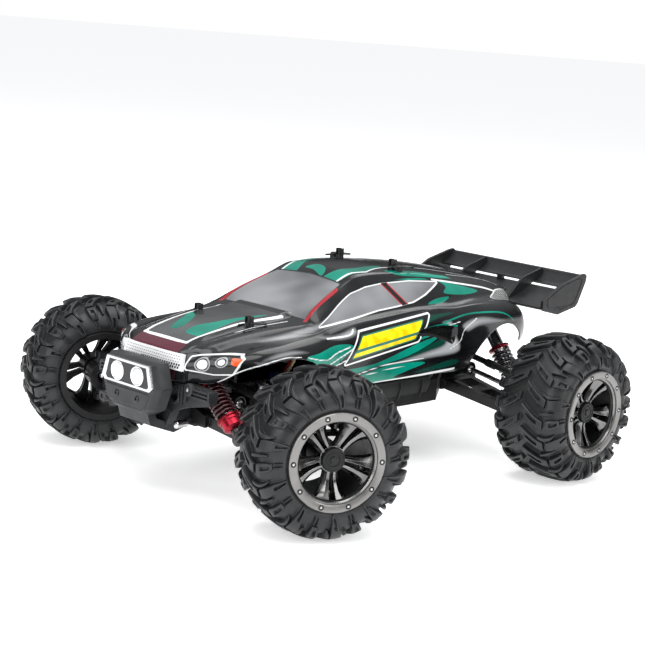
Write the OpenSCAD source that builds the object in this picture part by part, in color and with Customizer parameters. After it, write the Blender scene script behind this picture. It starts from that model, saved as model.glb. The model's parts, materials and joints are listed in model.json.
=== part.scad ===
// Four-wheel-drive radio-controlled monster truck, millimetres.
// The front faces -Y, the truck's left is +X and the wheels stand on z = 0.
// The origin is on the ground, on the centre line, at the middle of the overall length.

/* [Stance] */
// Distance between the front and rear axle lines
wheelbase = 235; // [225:1:245]
// Distance between the centre planes of the left and right tyres
track = 250; // [246:1:256]
// Turn of the front wheels to the right at rest, in degrees
steer_rest = 24.5; // [10:0.5:24.5]

/* [Wheels] */
// Outside diameter of the tyres
tyre_d = 104; // [100:1:108]
// Overall width of the tyres
tyre_w = 58; // [56:1:60]
// Inside radius of the rim barrel
rim_r = 27; // [26.5:0.5:27.5]
// Number of double spokes in each rim
spokes = 5; // [5:1:6]

/* [Suspension] */
// Distance of the inner hinge pins from the centre line
pivot_x = 24; // [23:0.5:25]
// Height of the inner hinge pins of the lower arms
pivot_z = 50; // [49:0.5:51]
// Fall of each arm from its inner pin to its outer pin
arm_drop = 10; // [8:0.5:11]
// Height between the lower arm and the upper link
link_rise = 24; // [24:0.5:25]
// Distance from the tyre's centre plane to the steering axis
scrub = 22; // [21.5:0.5:22.5]
// Length of the steering arms
steer_arm = 16; // [15.5:0.5:16]

/* [Body] */
// Height of the roof above the ground
roof_z = 143; // [138:1:148]
// Half the width of the body at the wheel arches
body_half_w = 68; // [64:1:69]
// Thickness of the body's skin
skin = 1.6; // [1.2:0.1:2]
// Half the span of the rear wing
wing_half = 66; // [60:1:70]

/* [Gears] */
// Teeth on the spur gear, twice those on the pinion
spur_teeth = 26; // [26:2:26]
// Module of the gears
gear_m = 1; // [1:0.1:1]

/* [Hidden] */
$fn = 48;
fit = 0.05;                     // radial clearance of a running fit
gap = 0.2;                      // clearance between faces that slide past each other
pin_r = 1.5;                    // hinge pins and small bolts
wheel_z = tyre_d / 2;
king_x = track / 2 - scrub;     // steering axis
hub_x = king_x - 13;            // outer hinge pins
arm_dx = hub_x - pivot_x;
arm_len = norm([arm_dx, arm_drop]);
arm_tilt = atan2(arm_drop, arm_dx);
hub_z = pivot_z - arm_drop;     // outer pin of the lower arm
link_z = hub_z + link_rise;     // outer pin of the upper link
shaft_z = wheel_z + arm_drop;   // gearbox outputs
shaft_x = king_x - arm_dx;
rack_y = steer_arm * (1 + cos(steer_rest)) / 2 - 0.02;
rack_shift = steer_arm * sin(steer_rest);
rack_z = 73;
shock_y = -24;                  // shocks stand on the far side of each axle
shock_foot = [67, 48];
shock_head_f = [28, 83];
shock_head_r = [30, 94];
floor_z = 45;                   // underside of the chassis
floor_t = 2.5;
stand_hole_r = 1.6;             // holes in the chassis floor for a display stand
spur_y = 66;
spur_r = gear_m * spur_teeth / 2;
pinion_r = spur_r / 2;
motor_x = -(spur_r + pinion_r + 0.1);
case_half = 11.5;               // half the length of a gear case
coil_turns = 6;
FRONT = -1;
REAR = 1;
LEFT = 1;
RIGHT = -1;

// Ends of the truck, measured like every other y below from midway between the axles
nose_y = -182;
wing_y = 162;                   // leading edge of the wing
wing_chord = 54;
wing_z = 111;
mid_y = (nose_y + wing_y + wing_chord) / 2;

// ---- helpers ----

// Moves a finished piece so that the middle of the overall length is at y = 0
module placed() { translate([0, -mid_y, 0]) children(); }

module flip_x(on) { if (on) mirror([1, 0, 0]) children(); else children(); }
module flip_y(on) { if (on) mirror([0, 1, 0]) children(); else children(); }

// Children are drawn for the front left corner, with the axle line at y = 0
module corner(end, side) {
    translate([0, end * wheelbase / 2, 0])
        flip_x(side == RIGHT) flip_y(end == REAR) children();
}

// Turns what a front knuckle carries to its place at rest
module steered(end, side) {
    turn = end == FRONT ? -side * steer_rest : 0;
    translate([king_x, 0, 0]) rotate([0, 0, turn]) translate([-king_x, 0, 0]) children();
}

// A cylinder along Y from y0 to y1
module bar_y(x, z, r, y0, y1) {
    translate([x, y1, z]) rotate([90, 0, 0]) cylinder(h = y1 - y0, r = r);
}

// A cylinder along X from x0 to x1
module bar_x(r, x0, x1, z = wheel_z) {
    translate([x0, 0, z]) rotate([0, 90, 0]) cylinder(h = x1 - x0, r = r);
}

// A box given by its two corners
module block(low, high) { translate(low) cube(high - low); }

// An outline in X and Z, extruded from y0 to y1
module plate_xz(points, y0, y1) {
    translate([0, y1, 0]) rotate([90, 0, 0]) linear_extrude(y1 - y0) polygon(points);
}

// An outline in Y and Z, extruded from x0 to x1
module plate_yz(points, x0, x1) {
    translate([x0, 0, 0]) rotate([90, 0, 90]) linear_extrude(x1 - x0) polygon(points);
}

module both_sides() { children(); mirror([1, 0, 0]) children(); }

// ---- wheels ----

tread_r = tyre_d / 2;
half_w = tyre_w / 2;
barrel_r = rim_r + 2.5;
bead_r = barrel_r + 0.3;
bead_x = half_w - 4;

// Cross-section of a tyre: x across the tyre, y away from the axle
function tyre_profile() = [
    [-bead_x, bead_r], [-bead_x, bead_r + 3.4], [-half_w + 1, bead_r + 7], [-half_w, tread_r - 10],
    [-half_w + 2, tread_r - 5], [-half_w + 9, tread_r - 1], [-half_w + 19, tread_r],
    [half_w - 19, tread_r], [half_w - 9, tread_r - 1], [half_w - 2, tread_r - 5],
    [half_w, tread_r - 10], [half_w - 1, bead_r + 7], [bead_x, bead_r + 3.4], [bead_x, bead_r],
    [bead_x - 5, bead_r], [bead_x - 3, bead_r + 6], [half_w - 5, tread_r - 9],
    [half_w - 10, tread_r - 5], [-half_w + 10, tread_r - 5], [-half_w + 5, tread_r - 9],
    [-bead_x + 3, bead_r + 6], [-bead_x + 5, bead_r]
];

module at_wheel() { translate([track / 2, 0, wheel_z]) rotate([0, 90, 0]) children(); }

module tyre(end, side) {
    color("#2b2c2e") corner(end, side) steered(end, side)
        at_wheel() rotate_extrude($fn = 96) rotate(90) polygon([for (p = tyre_profile()) [p.x, -p.y]]);
}

// A double spoke, split from near the hub to the ring
module spoke() {
    root = 8;
    split = 13;
    end = rim_r + 0.6;
    translate([0, 0, half_w - 17]) linear_extrude(10.4)
        polygon([[root, -2.8], [split - 1, -3.3], [end, -6], [end, -2.9], [split, -0.6],
                 [split, 0.6], [end, 2.9], [end, 6], [split - 1, 3.3], [root, 2.8]]);
}

module rim(end, side) {
    ring_x = half_w - 4;
    color("#8a8d91") corner(end, side) steered(end, side) at_wheel() {
        difference() {
            union() {
                translate([0, 0, -half_w + 1]) cylinder(h = tyre_w - 2, r = barrel_r);
                translate([0, 0, -half_w + 1]) cylinder(h = 2.7, r = barrel_r + 2.4);
                translate([0, 0, ring_x + 0.3]) cylinder(h = 2.7, r = barrel_r + 1.5);
            }
            translate([0, 0, -half_w]) cylinder(h = tyre_w, r = rim_r);
        }
        difference() {
            translate([0, 0, -3]) cylinder(h = half_w - 3, r = 9);
            translate([0, 0, -4]) cylinder(h = half_w, r = 3 + fit);
            translate([0, 0, 14]) cylinder(h = half_w, r = 6.6);
        }
        for (i = [0:spokes - 1]) rotate([0, 0, i * 360 / spokes]) spoke();
    }
}

module axle(end, side) {
    hex_x = track / 2 - 9;
    nut_x = track / 2 + 14;
    color("silver") corner(end, side) steered(end, side) {
        difference() {
            bar_x(5, king_x - 2, king_x + 5);
            bar_x(4.2, king_x - 3, king_x + 3.5);
        }
        bar_x(3, king_x + 5, nut_x + 6);
        translate([hex_x, 0, wheel_z]) rotate([0, 90, 0]) cylinder(h = 5.8, r = 6.9, $fn = 6);
        translate([nut_x + 0.2, 0, wheel_z]) rotate([0, 90, 0]) cylinder(h = 4.5, r = 5.8, $fn = 6);
    }
}

// ---- hubs ----

// The frame that joins the outer pins of arm and link
module upright() {
    wall_x = hub_x - 3;
    difference() {
        union() {
            block([wall_x, -8.6, hub_z + 6], [wall_x + 5, 8.6, link_z - 3.5]);
            block([wall_x, -5.2, hub_z - 1], [wall_x + 5, 5.2, hub_z + 7]);
            bar_y(hub_x, hub_z, 4, -5.2, 5.2);
        }
        bar_x(6, wall_x - 1, wall_x + 6, wheel_z + 1.5);
        block([wall_x - 2, -3 - gap, link_z - 5.5], [hub_x + 5, 3 + gap, link_z + 5]);
    }
    bar_y(hub_x, hub_z, pin_r, -10, 10);
    for (s = [-1, 1]) {
        bar_y(hub_x, link_z, 4, s > 0 ? 3 + gap : -6, s > 0 ? 6 : -3 - gap);
        block([hub_x, s > 0 ? 3 + gap : -6, link_z - 3.5], [king_x - 6.6, s > 0 ? 6 : -3 - gap, link_z + 3.5]);
    }
    bar_y(hub_x, link_z, pin_r, -6.5, 6.5);
}

module c_hub(side) {
    top = wheel_z + 13.3;
    bottom = wheel_z - 13.3;
    color("#3a3c3f") corner(FRONT, side) {
        upright();
        difference() {
            union() {
                block([hub_x + 5.5, -5.5, top], [king_x, 5.5, top + 3.7]);
                translate([king_x, 0, top]) cylinder(h = 3.7, r = 6);
                for (s = [-1, 1])
                    block([hub_x + 2, s > 0 ? 3 + gap : -5, link_z], [king_x - 5, s > 0 ? 5 : -3 - gap, top + 3]);
                block([hub_x, -4.6, bottom - 3.7], [king_x, 4.6, bottom]);
                translate([king_x, 0, bottom - 3.7]) cylinder(h = 3.7, r = 5.2);
            }
            translate([king_x, 0, bottom - 4]) cylinder(h = 40, r = pin_r + fit);
        }
    }
}

// The sleeve that carries the stub axle
module axle_sleeve(x0) {
    difference() {
        bar_x(10, x0, king_x + 11);
        bar_x(5.4, x0 - 1, king_x + 5.2);
        bar_x(3 + fit, king_x, king_x + 12);
    }
}

module knuckle(side) {
    boss = wheel_z - 12.8;
    color("#34363a") corner(FRONT, side) steered(FRONT, side) {
        difference() {
            union() {
                axle_sleeve(king_x - 5);
                translate([king_x, 0, boss]) cylinder(h = 25.6, r = 4);
                translate([king_x, 0, boss - 4]) cylinder(h = 33.6, r = pin_r);
            }
            bar_x(5.4, king_x - 6, king_x + 5.2);
        }
        difference() {
            block([king_x - 3, 4, wheel_z + 4], [king_x + 3, steer_arm, wheel_z + 7]);
            bar_x(6, king_x - 6, king_x + 8);
        }
        translate([king_x, steer_arm, wheel_z + 4]) cylinder(h = 3, r = 3);
        translate([king_x, steer_arm, wheel_z + 4]) cylinder(h = 10, r = 2);
    }
}

module hub_carrier(side) {
    color("#34363a") corner(REAR, side) {
        upright();
        axle_sleeve(king_x - 6);
        difference() {
            block([hub_x + 1, -8, wheel_z - 9], [king_x - 4, 8, wheel_z + 7.9]);
            bar_x(6, hub_x, king_x, wheel_z + 1.5);
            bar_x(6, hub_x, king_x);
            block([hub_x, -9, 0], [hub_x + 5, -5.2, hub_z + 5]);
            block([hub_x, 5.2, 0], [hub_x + 5, 9, hub_z + 5]);
        }
    }
}

// ---- arms, links and shafts ----

// Puts children on a bar that falls outwards from an inner pivot
module sloped(z, x = pivot_x) { translate([x, 0, z]) rotate([0, arm_tilt, 0]) children(); }

module lower_arm(end, side) {
    foot = [shock_foot.x - pivot_x, shock_foot.y - pivot_z];
    along = foot.x * cos(arm_tilt) - foot.y * sin(arm_tilt);
    above = foot.x * sin(arm_tilt) + foot.y * cos(arm_tilt);
    web_x = arm_len - 9;
    color("#303235") corner(end, side) sloped(pivot_z) {
        difference() {
            union() {
                translate([0, 0, -3.5]) linear_extrude(7)
                    polygon([[0, -16.5], [web_x, -10], [web_x, 10], [0, 16.5]]);
                bar_y(0, 0, 4.5, -16.5, 16.5);
                for (y = [-10, 5.4]) {
                    bar_y(arm_len, 0, 4, y, y + 4.6);
                    block([web_x - 1, y, -3.5], [arm_len, y + 4.6, 3.5]);
                }
                bar_y(along, above, 3.6, shock_y + 4, -8);
                block([along - 3.6, shock_y + 4, -3.5], [along + 3.6, -8, above]);
            }
            bar_y(0, 0, pin_r + fit, -20, 20);
            bar_y(arm_len, 0, pin_r + fit, -12, 12);
            translate([0, 0, -5]) linear_extrude(10)
                polygon([[7, -10], [7, 10], [26, 8], [26, -8]]);
            translate([0, 0, -5]) linear_extrude(10)
                polygon([[30, -7.5], [30, 7.5], [46, 5.5], [46, -5.5]]);
        }
        bar_y(along, above, pin_r, shock_y - 4, -9);
    }
}

module upper_link(end, side) {
    color("#303235") corner(end, side) sloped(pivot_z + link_rise) difference() {
        union() {
            for (x = [0, arm_len]) bar_y(x, 0, 4, -3, 3);
            translate([2, 0, 0]) rotate([0, 90, 0]) cylinder(h = arm_len - 4, r = 2.2);
            translate([arm_len / 2 - 4, 0, 0]) rotate([0, 90, 0]) cylinder(h = 8, r = 3.2, $fn = 6);
        }
        for (x = [0, arm_len]) bar_y(x, 0, pin_r + fit, -4, 4);
    }
}

module driveshaft(end, side) {
    color("silver") corner(end, side) sloped(shaft_z, shaft_x) {
        rotate([0, 90, 0]) cylinder(h = arm_len, r = 1.8);
        for (x = [0, arm_len]) translate([x, 0, 0]) sphere(r = 3.4);
    }
}

// ---- shocks ----

function shock_head(end) = end == FRONT ? shock_head_f : shock_head_r;
function shock_vec(end) = shock_foot - shock_head(end);
function shock_len(end) = norm(shock_vec(end));

// Children run along +X from the upper eye towards the lower one
module on_shock(end, side) {
    v = shock_vec(end);
    head = shock_head(end);
    corner(end, side) translate([head.x, shock_y, head.y])
        rotate([0, atan2(-v.y, v.x), 0]) children();
}

module rod_x(x0, x1, r) { translate([x0, 0, 0]) rotate([0, 90, 0]) cylinder(h = x1 - x0, r = r); }

module shock_body(end, side) {
    length = shock_len(end) - 21;
    color("#26272a") on_shock(end, side) difference() {
        union() {
            bar_y(0, 0, 4.2, -3, 3);
            rod_x(2, 6, 3.4);
            rod_x(5, length, 5);
            rod_x(8.5, 10.5, 8.2);
        }
        bar_y(0, 0, pin_r + fit, -4, 4);
        rod_x(6.2, length - 2, 4);
        rod_x(6.2, length + 1, 1.5 + fit);
    }
}

module shock_rod(end, side) {
    length = shock_len(end);
    cup = length - 9;
    color("#b01822") on_shock(end, side) {
        difference() {
            union() {
                bar_y(length, 0, 4, -3, 3);
                rod_x(cup, cup + 1.5, 8.2);
                rod_x(cup, length - 2, 3.2);
            }
            bar_y(length, 0, pin_r + 0.7, -4, 4);
        }
        rod_x(cup - 29, cup, 1.5);
        rod_x(cup - 29, cup - 27, 3.9);
    }
}

// A helical wire between two seats, as a swept pentagon
module coil(x0, x1, r, wire) {
    steps = 12 * coil_turns;
    sides = 5;
    points = [for (i = [0:steps], k = [0:sides - 1])
        let (a = 360 * i * coil_turns / steps, b = 360 * k / sides, q = r + wire * cos(b))
        [x0 + wire + (x1 - x0 - 2 * wire) * i / steps + wire * sin(b), q * cos(a), q * sin(a)]];
    walls = [for (i = [0:steps - 1], k = [0:sides - 1])
        let (n = (k + 1) % sides)
        [i * sides + k, (i + 1) * sides + k, (i + 1) * sides + n, i * sides + n]];
    caps = [[for (k = [0:sides - 1]) k], [for (k = [0:sides - 1]) (steps + 1) * sides - 1 - k]];
    polyhedron(points, concat(walls, caps), convexity = 10);
}

module spring(end, side) {
    color("#1d1e20") on_shock(end, side) coil(10.6, shock_len(end) - 9.1, 6.9, 0.9);
}

// ---- steering ----

module at_rack() { translate([rack_shift, -wheelbase / 2 + rack_y, 0]) children(); }

module steering_rack() {
    color("#2a2b2e") at_rack() {
        block([-shaft_x - 4, -2.4, rack_z - 5], [shaft_x + 4, 2.4, rack_z - 2.9]);
        for (x = [-shaft_x, shaft_x])
            translate([x, 0, rack_z - 5]) cylinder(h = 8, r = 1.5);
    }
}

module tie_rod(side) {
    color("#2a2b2e") at_rack() flip_x(side == RIGHT) translate([shaft_x, 0, rack_z])
        rotate([0, arm_tilt, 0]) {
            difference() {
                union() {
                    translate([0, 0, -1.5]) cylinder(h = 3, r = 3.6);
                    rotate([0, 90, 0]) cylinder(h = arm_len - 4, r = 1.4);
                }
                translate([0, 0, -3]) cylinder(h = 6, r = pin_r + 0.7);
            }
            translate([arm_len, 0, 0]) difference() {
                translate([0, 0, -1.5]) cylinder(h = 3, r = 4.6);
                translate([0, 0, -3]) cylinder(h = 6, r = 3.3);
            }
        }
}

module steering_servo() {
    y = -wheelbase / 2 + 32;
    color("#202124") {
        block([-29, y, floor_z + floor_t + 0.1], [-9, y + 12, floor_z + 25]);
        block([-32, y + 2, floor_z + 18], [-6, y + 10, floor_z + 20]);
        translate([-14, y + 6, floor_z + 24]) cylinder(h = 4, r = 4);
    }
}

// ---- chassis ----

module gearbox(end) {
    half = 19.8;
    color("#26282b") translate([0, end * wheelbase / 2, 0]) flip_y(end == REAR) {
        difference() {
            union() {
                block([-19, -half, floor_z], [19, half, floor_z + 2.5]);
                block([-18, -case_half, floor_z], [18, case_half, shaft_z + 18]);
                for (y = [-half, half - 2.8])
                    plate_xz([[-28, 46], [28, 46], [28, 54], [18, 57], [-18, 57], [-28, 54]], y, y + 2.8);
                both_sides() {
                    for (y = [-6, 3 + gap])
                        block([10, y, pivot_z + link_rise - 4], [pivot_x + 4, y + 2.8, pivot_z + link_rise + 4]);
                    bar_x(5.1, 17, shaft_x + 2, shaft_z);
                }
            }
            both_sides() {
                bar_x(4.2, shaft_x - 4, shaft_x + 3, shaft_z);
                block([pivot_x - 5, -3 - gap, pivot_z + link_rise - 5],
                      [pivot_x + 5, 3 + gap, pivot_z + link_rise + 5]);
            }
            bar_y(0, shaft_z, 3.1, 6, 12);
        }
        both_sides() {
            bar_y(pivot_x, pivot_z, pin_r, -half, half);
            bar_y(pivot_x, pivot_z + link_rise, pin_r, -6, 6);
        }
    }
}

module chassis_tub() {
    f = -wheelbase / 2 + 20;
    r = wheelbase / 2 - 20;
    wide = 52;
    slim = 24;
    color("#222326") difference() {
        union() {
            translate([0, 0, floor_z]) linear_extrude(floor_t) tub_outline(wide - 5, slim, f, r);
            difference() {
                translate([0, 0, floor_z + 2]) linear_extrude(16) tub_outline(wide, slim + 3, f, r);
                translate([0, 0, floor_z + 2]) linear_extrude(17) tub_outline(wide - 2.5, slim + 0.5, f + 3, r - 3);
            }
            both_sides() for (y = [-40, 0, 40])
                block([wide - 8, y - 1, floor_z + 2], [wide, y + 1, floor_z + 16]);
        }
        translate([0, 0, shaft_z]) rotate([90, 0, 0]) cylinder(h = 2 * wheelbase, r = 5, center = true);
        translate([-20, -1.5 * wheelbase, shaft_z]) cube([40, 3 * wheelbase, 20]);
        for (x = [-6, 6], y = [-50, 0]) translate([x, y, floor_z - 1]) cylinder(h = 5, r = stand_hole_r);
    }
}

module tub_outline(wide, slim, f, r) {
    polygon([[-slim, f], [slim, f], [wide, f + 42], [wide, r - 34], [slim, r],
             [-slim, r], [-wide, r - 34], [-wide, f + 42]]);
}

// A post with a cross slot for a clip, open at the top so that shell and clips lift off together
module body_post(x, y, z0, z1) {
    difference() {
        translate([x, y, z0]) cylinder(h = z1 - z0, r = 3);
        bar_y(x, z1 - 4, 1.1, y - 5, y + 5);
        block([x - 1.1, y - 5, z1 - 4], [x + 1.1, y + 5, z1 + 1]);
    }
}

front_post = [25, -101];
rear_post = [26, 34];
front_post_top = 116;
rear_post_top = roof_z + 4;

module front_shock_tower() {
    y = -wheelbase / 2 + shock_y + 5.2;
    case_y = -wheelbase / 2 - case_half;
    h = shock_head_f;
    color("#26282b") {
        plate_xz([[-15, 62], [15, 62], [17, 74], [h.x + 4, h.y - 3], [h.x + 4, h.y + 4], [h.x - 4, h.y + 5],
                  [12, 80], [-12, 80], [-h.x + 4, h.y + 5], [-h.x - 4, h.y + 4], [-h.x - 4, h.y - 3], [-17, 74]],
                 y, y + 3);
        block([-15, y + 2, 62], [15, case_y, 76]);
        both_sides() bar_y(h.x, h.y, pin_r, y - 9.5, y + 2);
        block([-12, y + 1, 75], [12, case_y, 83]);
        block([-front_post.x, case_y - 0.5, 80.5], [front_post.x, case_y + 7, 84]);
        both_sides() block([front_post.x - 4, case_y, 80.5], [front_post.x + 3, front_post.y + 3, 84]);
        both_sides() body_post(front_post.x, front_post.y, 82, front_post_top);
    }
}

module rear_shock_tower() {
    y = wheelbase / 2 - shock_y - 8.2;
    h = shock_head_r;
    wing_foot = wing_y + 14;
    color("#26282b") {
        plate_xz([[-15, 62], [15, 62], [18, 80], [h.x + 4, h.y - 4], [h.x + 4, h.y + 4], [h.x - 4, h.y + 5],
                  [14, 92], [-14, 92], [-h.x + 4, h.y + 5], [-h.x - 4, h.y + 4], [-h.x - 4, h.y - 4], [-18, 80]],
                 y, y + 3);
        block([-15, wheelbase / 2 + case_half, 62], [15, y + 1, 76]);
        both_sides() bar_y(h.x, h.y, pin_r, y + 1, y + 12.5);
        both_sides() plate_yz([[y + 1, 80], [y + 14, 84], [wing_foot + 16, wing_z - 3], [wing_foot + 16, wing_z],
                               [wing_foot, wing_z], [y + 10, 92], [y + 1, 91]], 9, 13);
        both_sides() plate_yz([[rear_post.y - 3, 108], [rear_post.y + 8, 108], [y + 2, 82], [y + 2, 90],
                               [rear_post.y + 8, 114], [rear_post.y - 3, 114]], 20, 24);
        both_sides() block([14, y, 82], [24, y + 3, 92]);
        both_sides() block([20, rear_post.y - 3, 108], [rear_post.x, rear_post.y + 3, 114]);
        both_sides() body_post(rear_post.x, rear_post.y, 108, rear_post_top);
    }
}

module front_bumper() {
    y = -158;
    tail = -wheelbase / 2 - 19.9;
    color("#3b3d41") {
        plate_yz([[tail, 46], [-152, 42], [-172, 49], [-175, 57.5], [-169, 57.5], [-167, 53], [-152, 47.5],
                  [tail, 50]], -15, 15);
        difference() {
            both_sides() plate_xz([[-1, 52], [14, 46], [20, 58], [33, 63], [54, 68], [55, 77], [34, 78], [-1, 74]],
                                  y, y + 6);
            both_sides() bar_y(20, 69, 4.5, y - 1, y + 7);
        }
        block([-14, y + 5, 49], [14, tail, 60]);
        block([-10, -167, 62], [10, y + 1, 72]);
    }
}

// Six-sided lamp housing with two lamps and two bolts
module headlamp_unit() {
    front = nose_y + 1;
    top = 91;
    outline = [[-15, 58], [15, 58], [22, 62], [27, 76], [22, top], [-22, top], [-27, 76], [-22, 62]];
    color("#4a4c50") {
        difference() {
            plate_xz(outline, front, front + 13.8);
            plate_xz([[-19, 74], [19, 74], [23, 77], [20, top - 3], [-20, top - 3], [-23, 77]],
                     front - 1, front + 4);
        }
        for (x = [-11, 11]) bar_y(x, 81, 5.5, front + 1.5, front + 5);
        for (x = [-9, 9]) bar_y(x, 66, 1.8, front - 1, front + 1);
    }
}

// ---- wing ----

module wing() {
    tail = wing_y + wing_chord;
    color("#232427") {
        plate_yz([[wing_y, wing_z], [wing_y + 36, wing_z], [wing_y + 36, wing_z + 2.4], [wing_y + 18, wing_z + 2.6],
                  [wing_y, wing_z + 4.4]], -wing_half, wing_half);
        plate_yz([[wing_y + 33, wing_z + 6], [wing_y + 35, wing_z + 5], [wing_y + 46, wing_z + 13],
                  [tail - 3, wing_z + 23], [tail - 5, wing_z + 23.5], [wing_y + 43, wing_z + 15]],
                 -wing_half, wing_half);
        both_sides() plate_yz([[wing_y - 1, wing_z - 3], [wing_y + 19, wing_z - 8], [wing_y + 42, wing_z - 3],
                               [tail - 3, wing_z + 16], [tail, wing_z + 26], [tail - 4, wing_z + 27],
                               [wing_y - 1, wing_z + 5]], wing_half - 1, wing_half + 1.5);
        both_sides() plate_yz([[wing_y + 2, wing_z + 2], [wing_y + 34, wing_z + 1], [tail - 4, wing_z + 22],
                               [tail - 9, wing_z + 23], [wing_y + 24, wing_z + 12]], 27, 29);
    }
}

// ---- body ----

// Half outline of the body at one station: x and z of the sill, waist, shoulder, roof edge and crown
function station(y, sill, waist, shoulder, edge, crown) = [y, [sill, waist, shoulder, edge, [0, crown]]];

// Stations from nose to tail
bw = body_half_w;
rz = roof_z;
stations = [
    station(-161, [24, 82], [27, 85], [28, 92], [24, 96], 97),
    station(-152, [42, 80], [46, 86], [42, 97], [22, 101], 102),
    station(-122, [bw - 8, 82], [bw - 2, 92], [bw - 16, 101], [26, 106], 107),
    station(-66, [bw - 8, 72], [bw, 92], [bw - 12, 106], [43, 112], 113),
    station(-28, [bw - 6, 70], [bw - 2, 94], [bw - 12, 112], [34, rz - 12], rz - 11),
    station(-2, [bw - 6, 70], [bw - 2, 96], [bw - 11, 114], [32, rz - 3], rz),
    station(42, [bw - 6, 70], [bw - 2, 98], [bw - 10, 117], [34, rz - 5], rz - 2.5),
    station(84, [bw - 6, 72], [bw - 2, 98], [bw - 10, 118], [38, rz - 8], rz - 5),
    station(120, [bw - 6, 84], [bw - 3, 102], [bw - 13, 117], [38, rz - 13], rz - 10),
    station(152, [bw - 12, 86], [bw - 9, 100], [bw - 20, 112], [34, rz - 22], rz - 19)
];

// One closed ring of a station, drawn in by t; an inner ring reaches below the sill
function ring(s, t, y) =
    let (half = [for (p = s[1]) [max(p.x - t, 0), p.y - t]], drop = t > 0 ? 9 : 0)
    concat([for (p = half) [p.x, y, p.y]], [for (i = [3:-1:0]) [-half[i].x, y, half[i].y]],
           [[-half[0].x, y, half[0].y - drop - 1], [half[0].x, y, half[0].y - drop - 1]]);

// A closed skin through the stations; the nose moves by nose_in and the tail by tail_out
module loft(t, nose_in, tail_out) {
    last = len(stations) - 1;
    rings = [for (i = [0:last])
        ring(stations[i], t, stations[i][0] + (i == 0 ? nose_in : i == last ? tail_out : 0))];
    n = len(rings[0]);
    walls = [for (i = [0:last - 1], k = [0:n - 1])
        let (m = (k + 1) % n) each [[i * n + m, (i + 1) * n + m, (i + 1) * n + k],
                                    [i * n + m, (i + 1) * n + k, i * n + k]]];
    caps = [[for (k = [n - 1:-1:0]) k], [for (k = [0:n - 1]) last * n + k]];
    polyhedron([for (r = rings) each r], concat(walls, caps), convexity = 6);
}

// The arch over a wheel, cut right across the body
module arch(points) { plate_yz(points, -90, 90); }

module body_shell() {
    nose_arch = [[-150, 60], [-150, 78], [-136, 87], [-118, 94], [-98, 95], [-80, 91], [-68, 82], [-54, 70], [-54, 60]];
    tail_arch = [[72, 60], [79, 69], [91, 87], [104, 97], [123, 101], [141, 92], [149, 82], [149, 60]];
    color("#1d5f56") difference() {
        loft(0, 0, 0);
        loft(skin, 2, 5);
        arch(nose_arch);
        arch(tail_arch);
        both_sides() translate([front_post.x, front_post.y, 90]) cylinder(h = 40, r = 4);
        both_sides() translate([rear_post.x, rear_post.y, 110]) cylinder(h = 60, r = 4);
    }
}

// Bent-wire clips through the posts
module body_clips() {
    color("#151516") both_sides() {
        for (p = [[front_post.x, front_post.y, front_post_top], [rear_post.x, rear_post.y, rear_post_top]])
            translate([p.x, p.y, p.z - 4]) {
                rotate([90, 0, 0]) cylinder(h = 20, r = 0.8, center = true);
                translate([0, 10, 0]) rotate([0, 90, 0]) cylinder(h = 9, r = 0.8);
            }
    }
}

// ---- drive ----

// A spur gear about Y with straight-sided teeth; phase is a share of one tooth pitch
module gear(teeth, r, phase, y0, y1, bore) {
    pitch = 360 / teeth;
    outline = [for (i = [0:teeth - 1], c = [[-0.3, -1.2], [-0.2, 0], [-0.09, 0.9], [0.09, 0.9], [0.2, 0], [0.3, -1.2]])
        let (a = (i + phase + c.x) * pitch, q = r + c.y * gear_m) [q * cos(a), q * sin(a)]];
    translate([0, y1, shaft_z]) rotate([90, 0, 0]) difference() {
        linear_extrude(y1 - y0) polygon(outline);
        translate([0, 0, -1]) cylinder(h = y1 - y0 + 2, r = bore);
    }
}

module centre_shaft() {
    end_y = wheelbase / 2 - 11.6;
    color("silver") {
        bar_y(0, shaft_z, 2.5, -end_y + 0.1, end_y - 0.1);
        for (s = [-1, 1]) bar_y(0, shaft_z, 3, s > 0 ? end_y - 0.5 : -end_y - 5, s > 0 ? end_y + 5 : -end_y + 0.5);
        bar_y(0, shaft_z, 6, spur_y - 4, spur_y);
    }
    color("#2c2d30") gear(spur_teeth, spur_r, 0, spur_y, spur_y + 6, 2);
}

module motor_pinion() {
    color("#b9a15a") translate([motor_x, 0, 0]) gear(spur_teeth / 2, pinion_r, 0.5, spur_y, spur_y + 6, 1.6);
    color("silver") bar_y(motor_x, shaft_z, 1.7, spur_y - 10, spur_y + 6.5);
}

module motor() {
    color("#55585c") difference() {
        union() {
            bar_y(motor_x, shaft_z, 13.5, 6, 56);
            bar_y(motor_x, shaft_z, 6, 55, 58);
            block([motor_x - 12, 56, floor_z + floor_t + 0.1], [motor_x + 12, 58.5, shaft_z + 10]);
        }
        bar_y(motor_x, shaft_z, 1.7 + fit, 40, 60);
    }
}

module battery() {
    color("#1f4f93") block([10, -64, floor_z + floor_t + 0.1], [42, 30, floor_z + 27]);
    color("#c22222") bar_y(24, floor_z + 22, 1.6, 29, 38);
}

// ---- what is drawn ----

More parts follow.
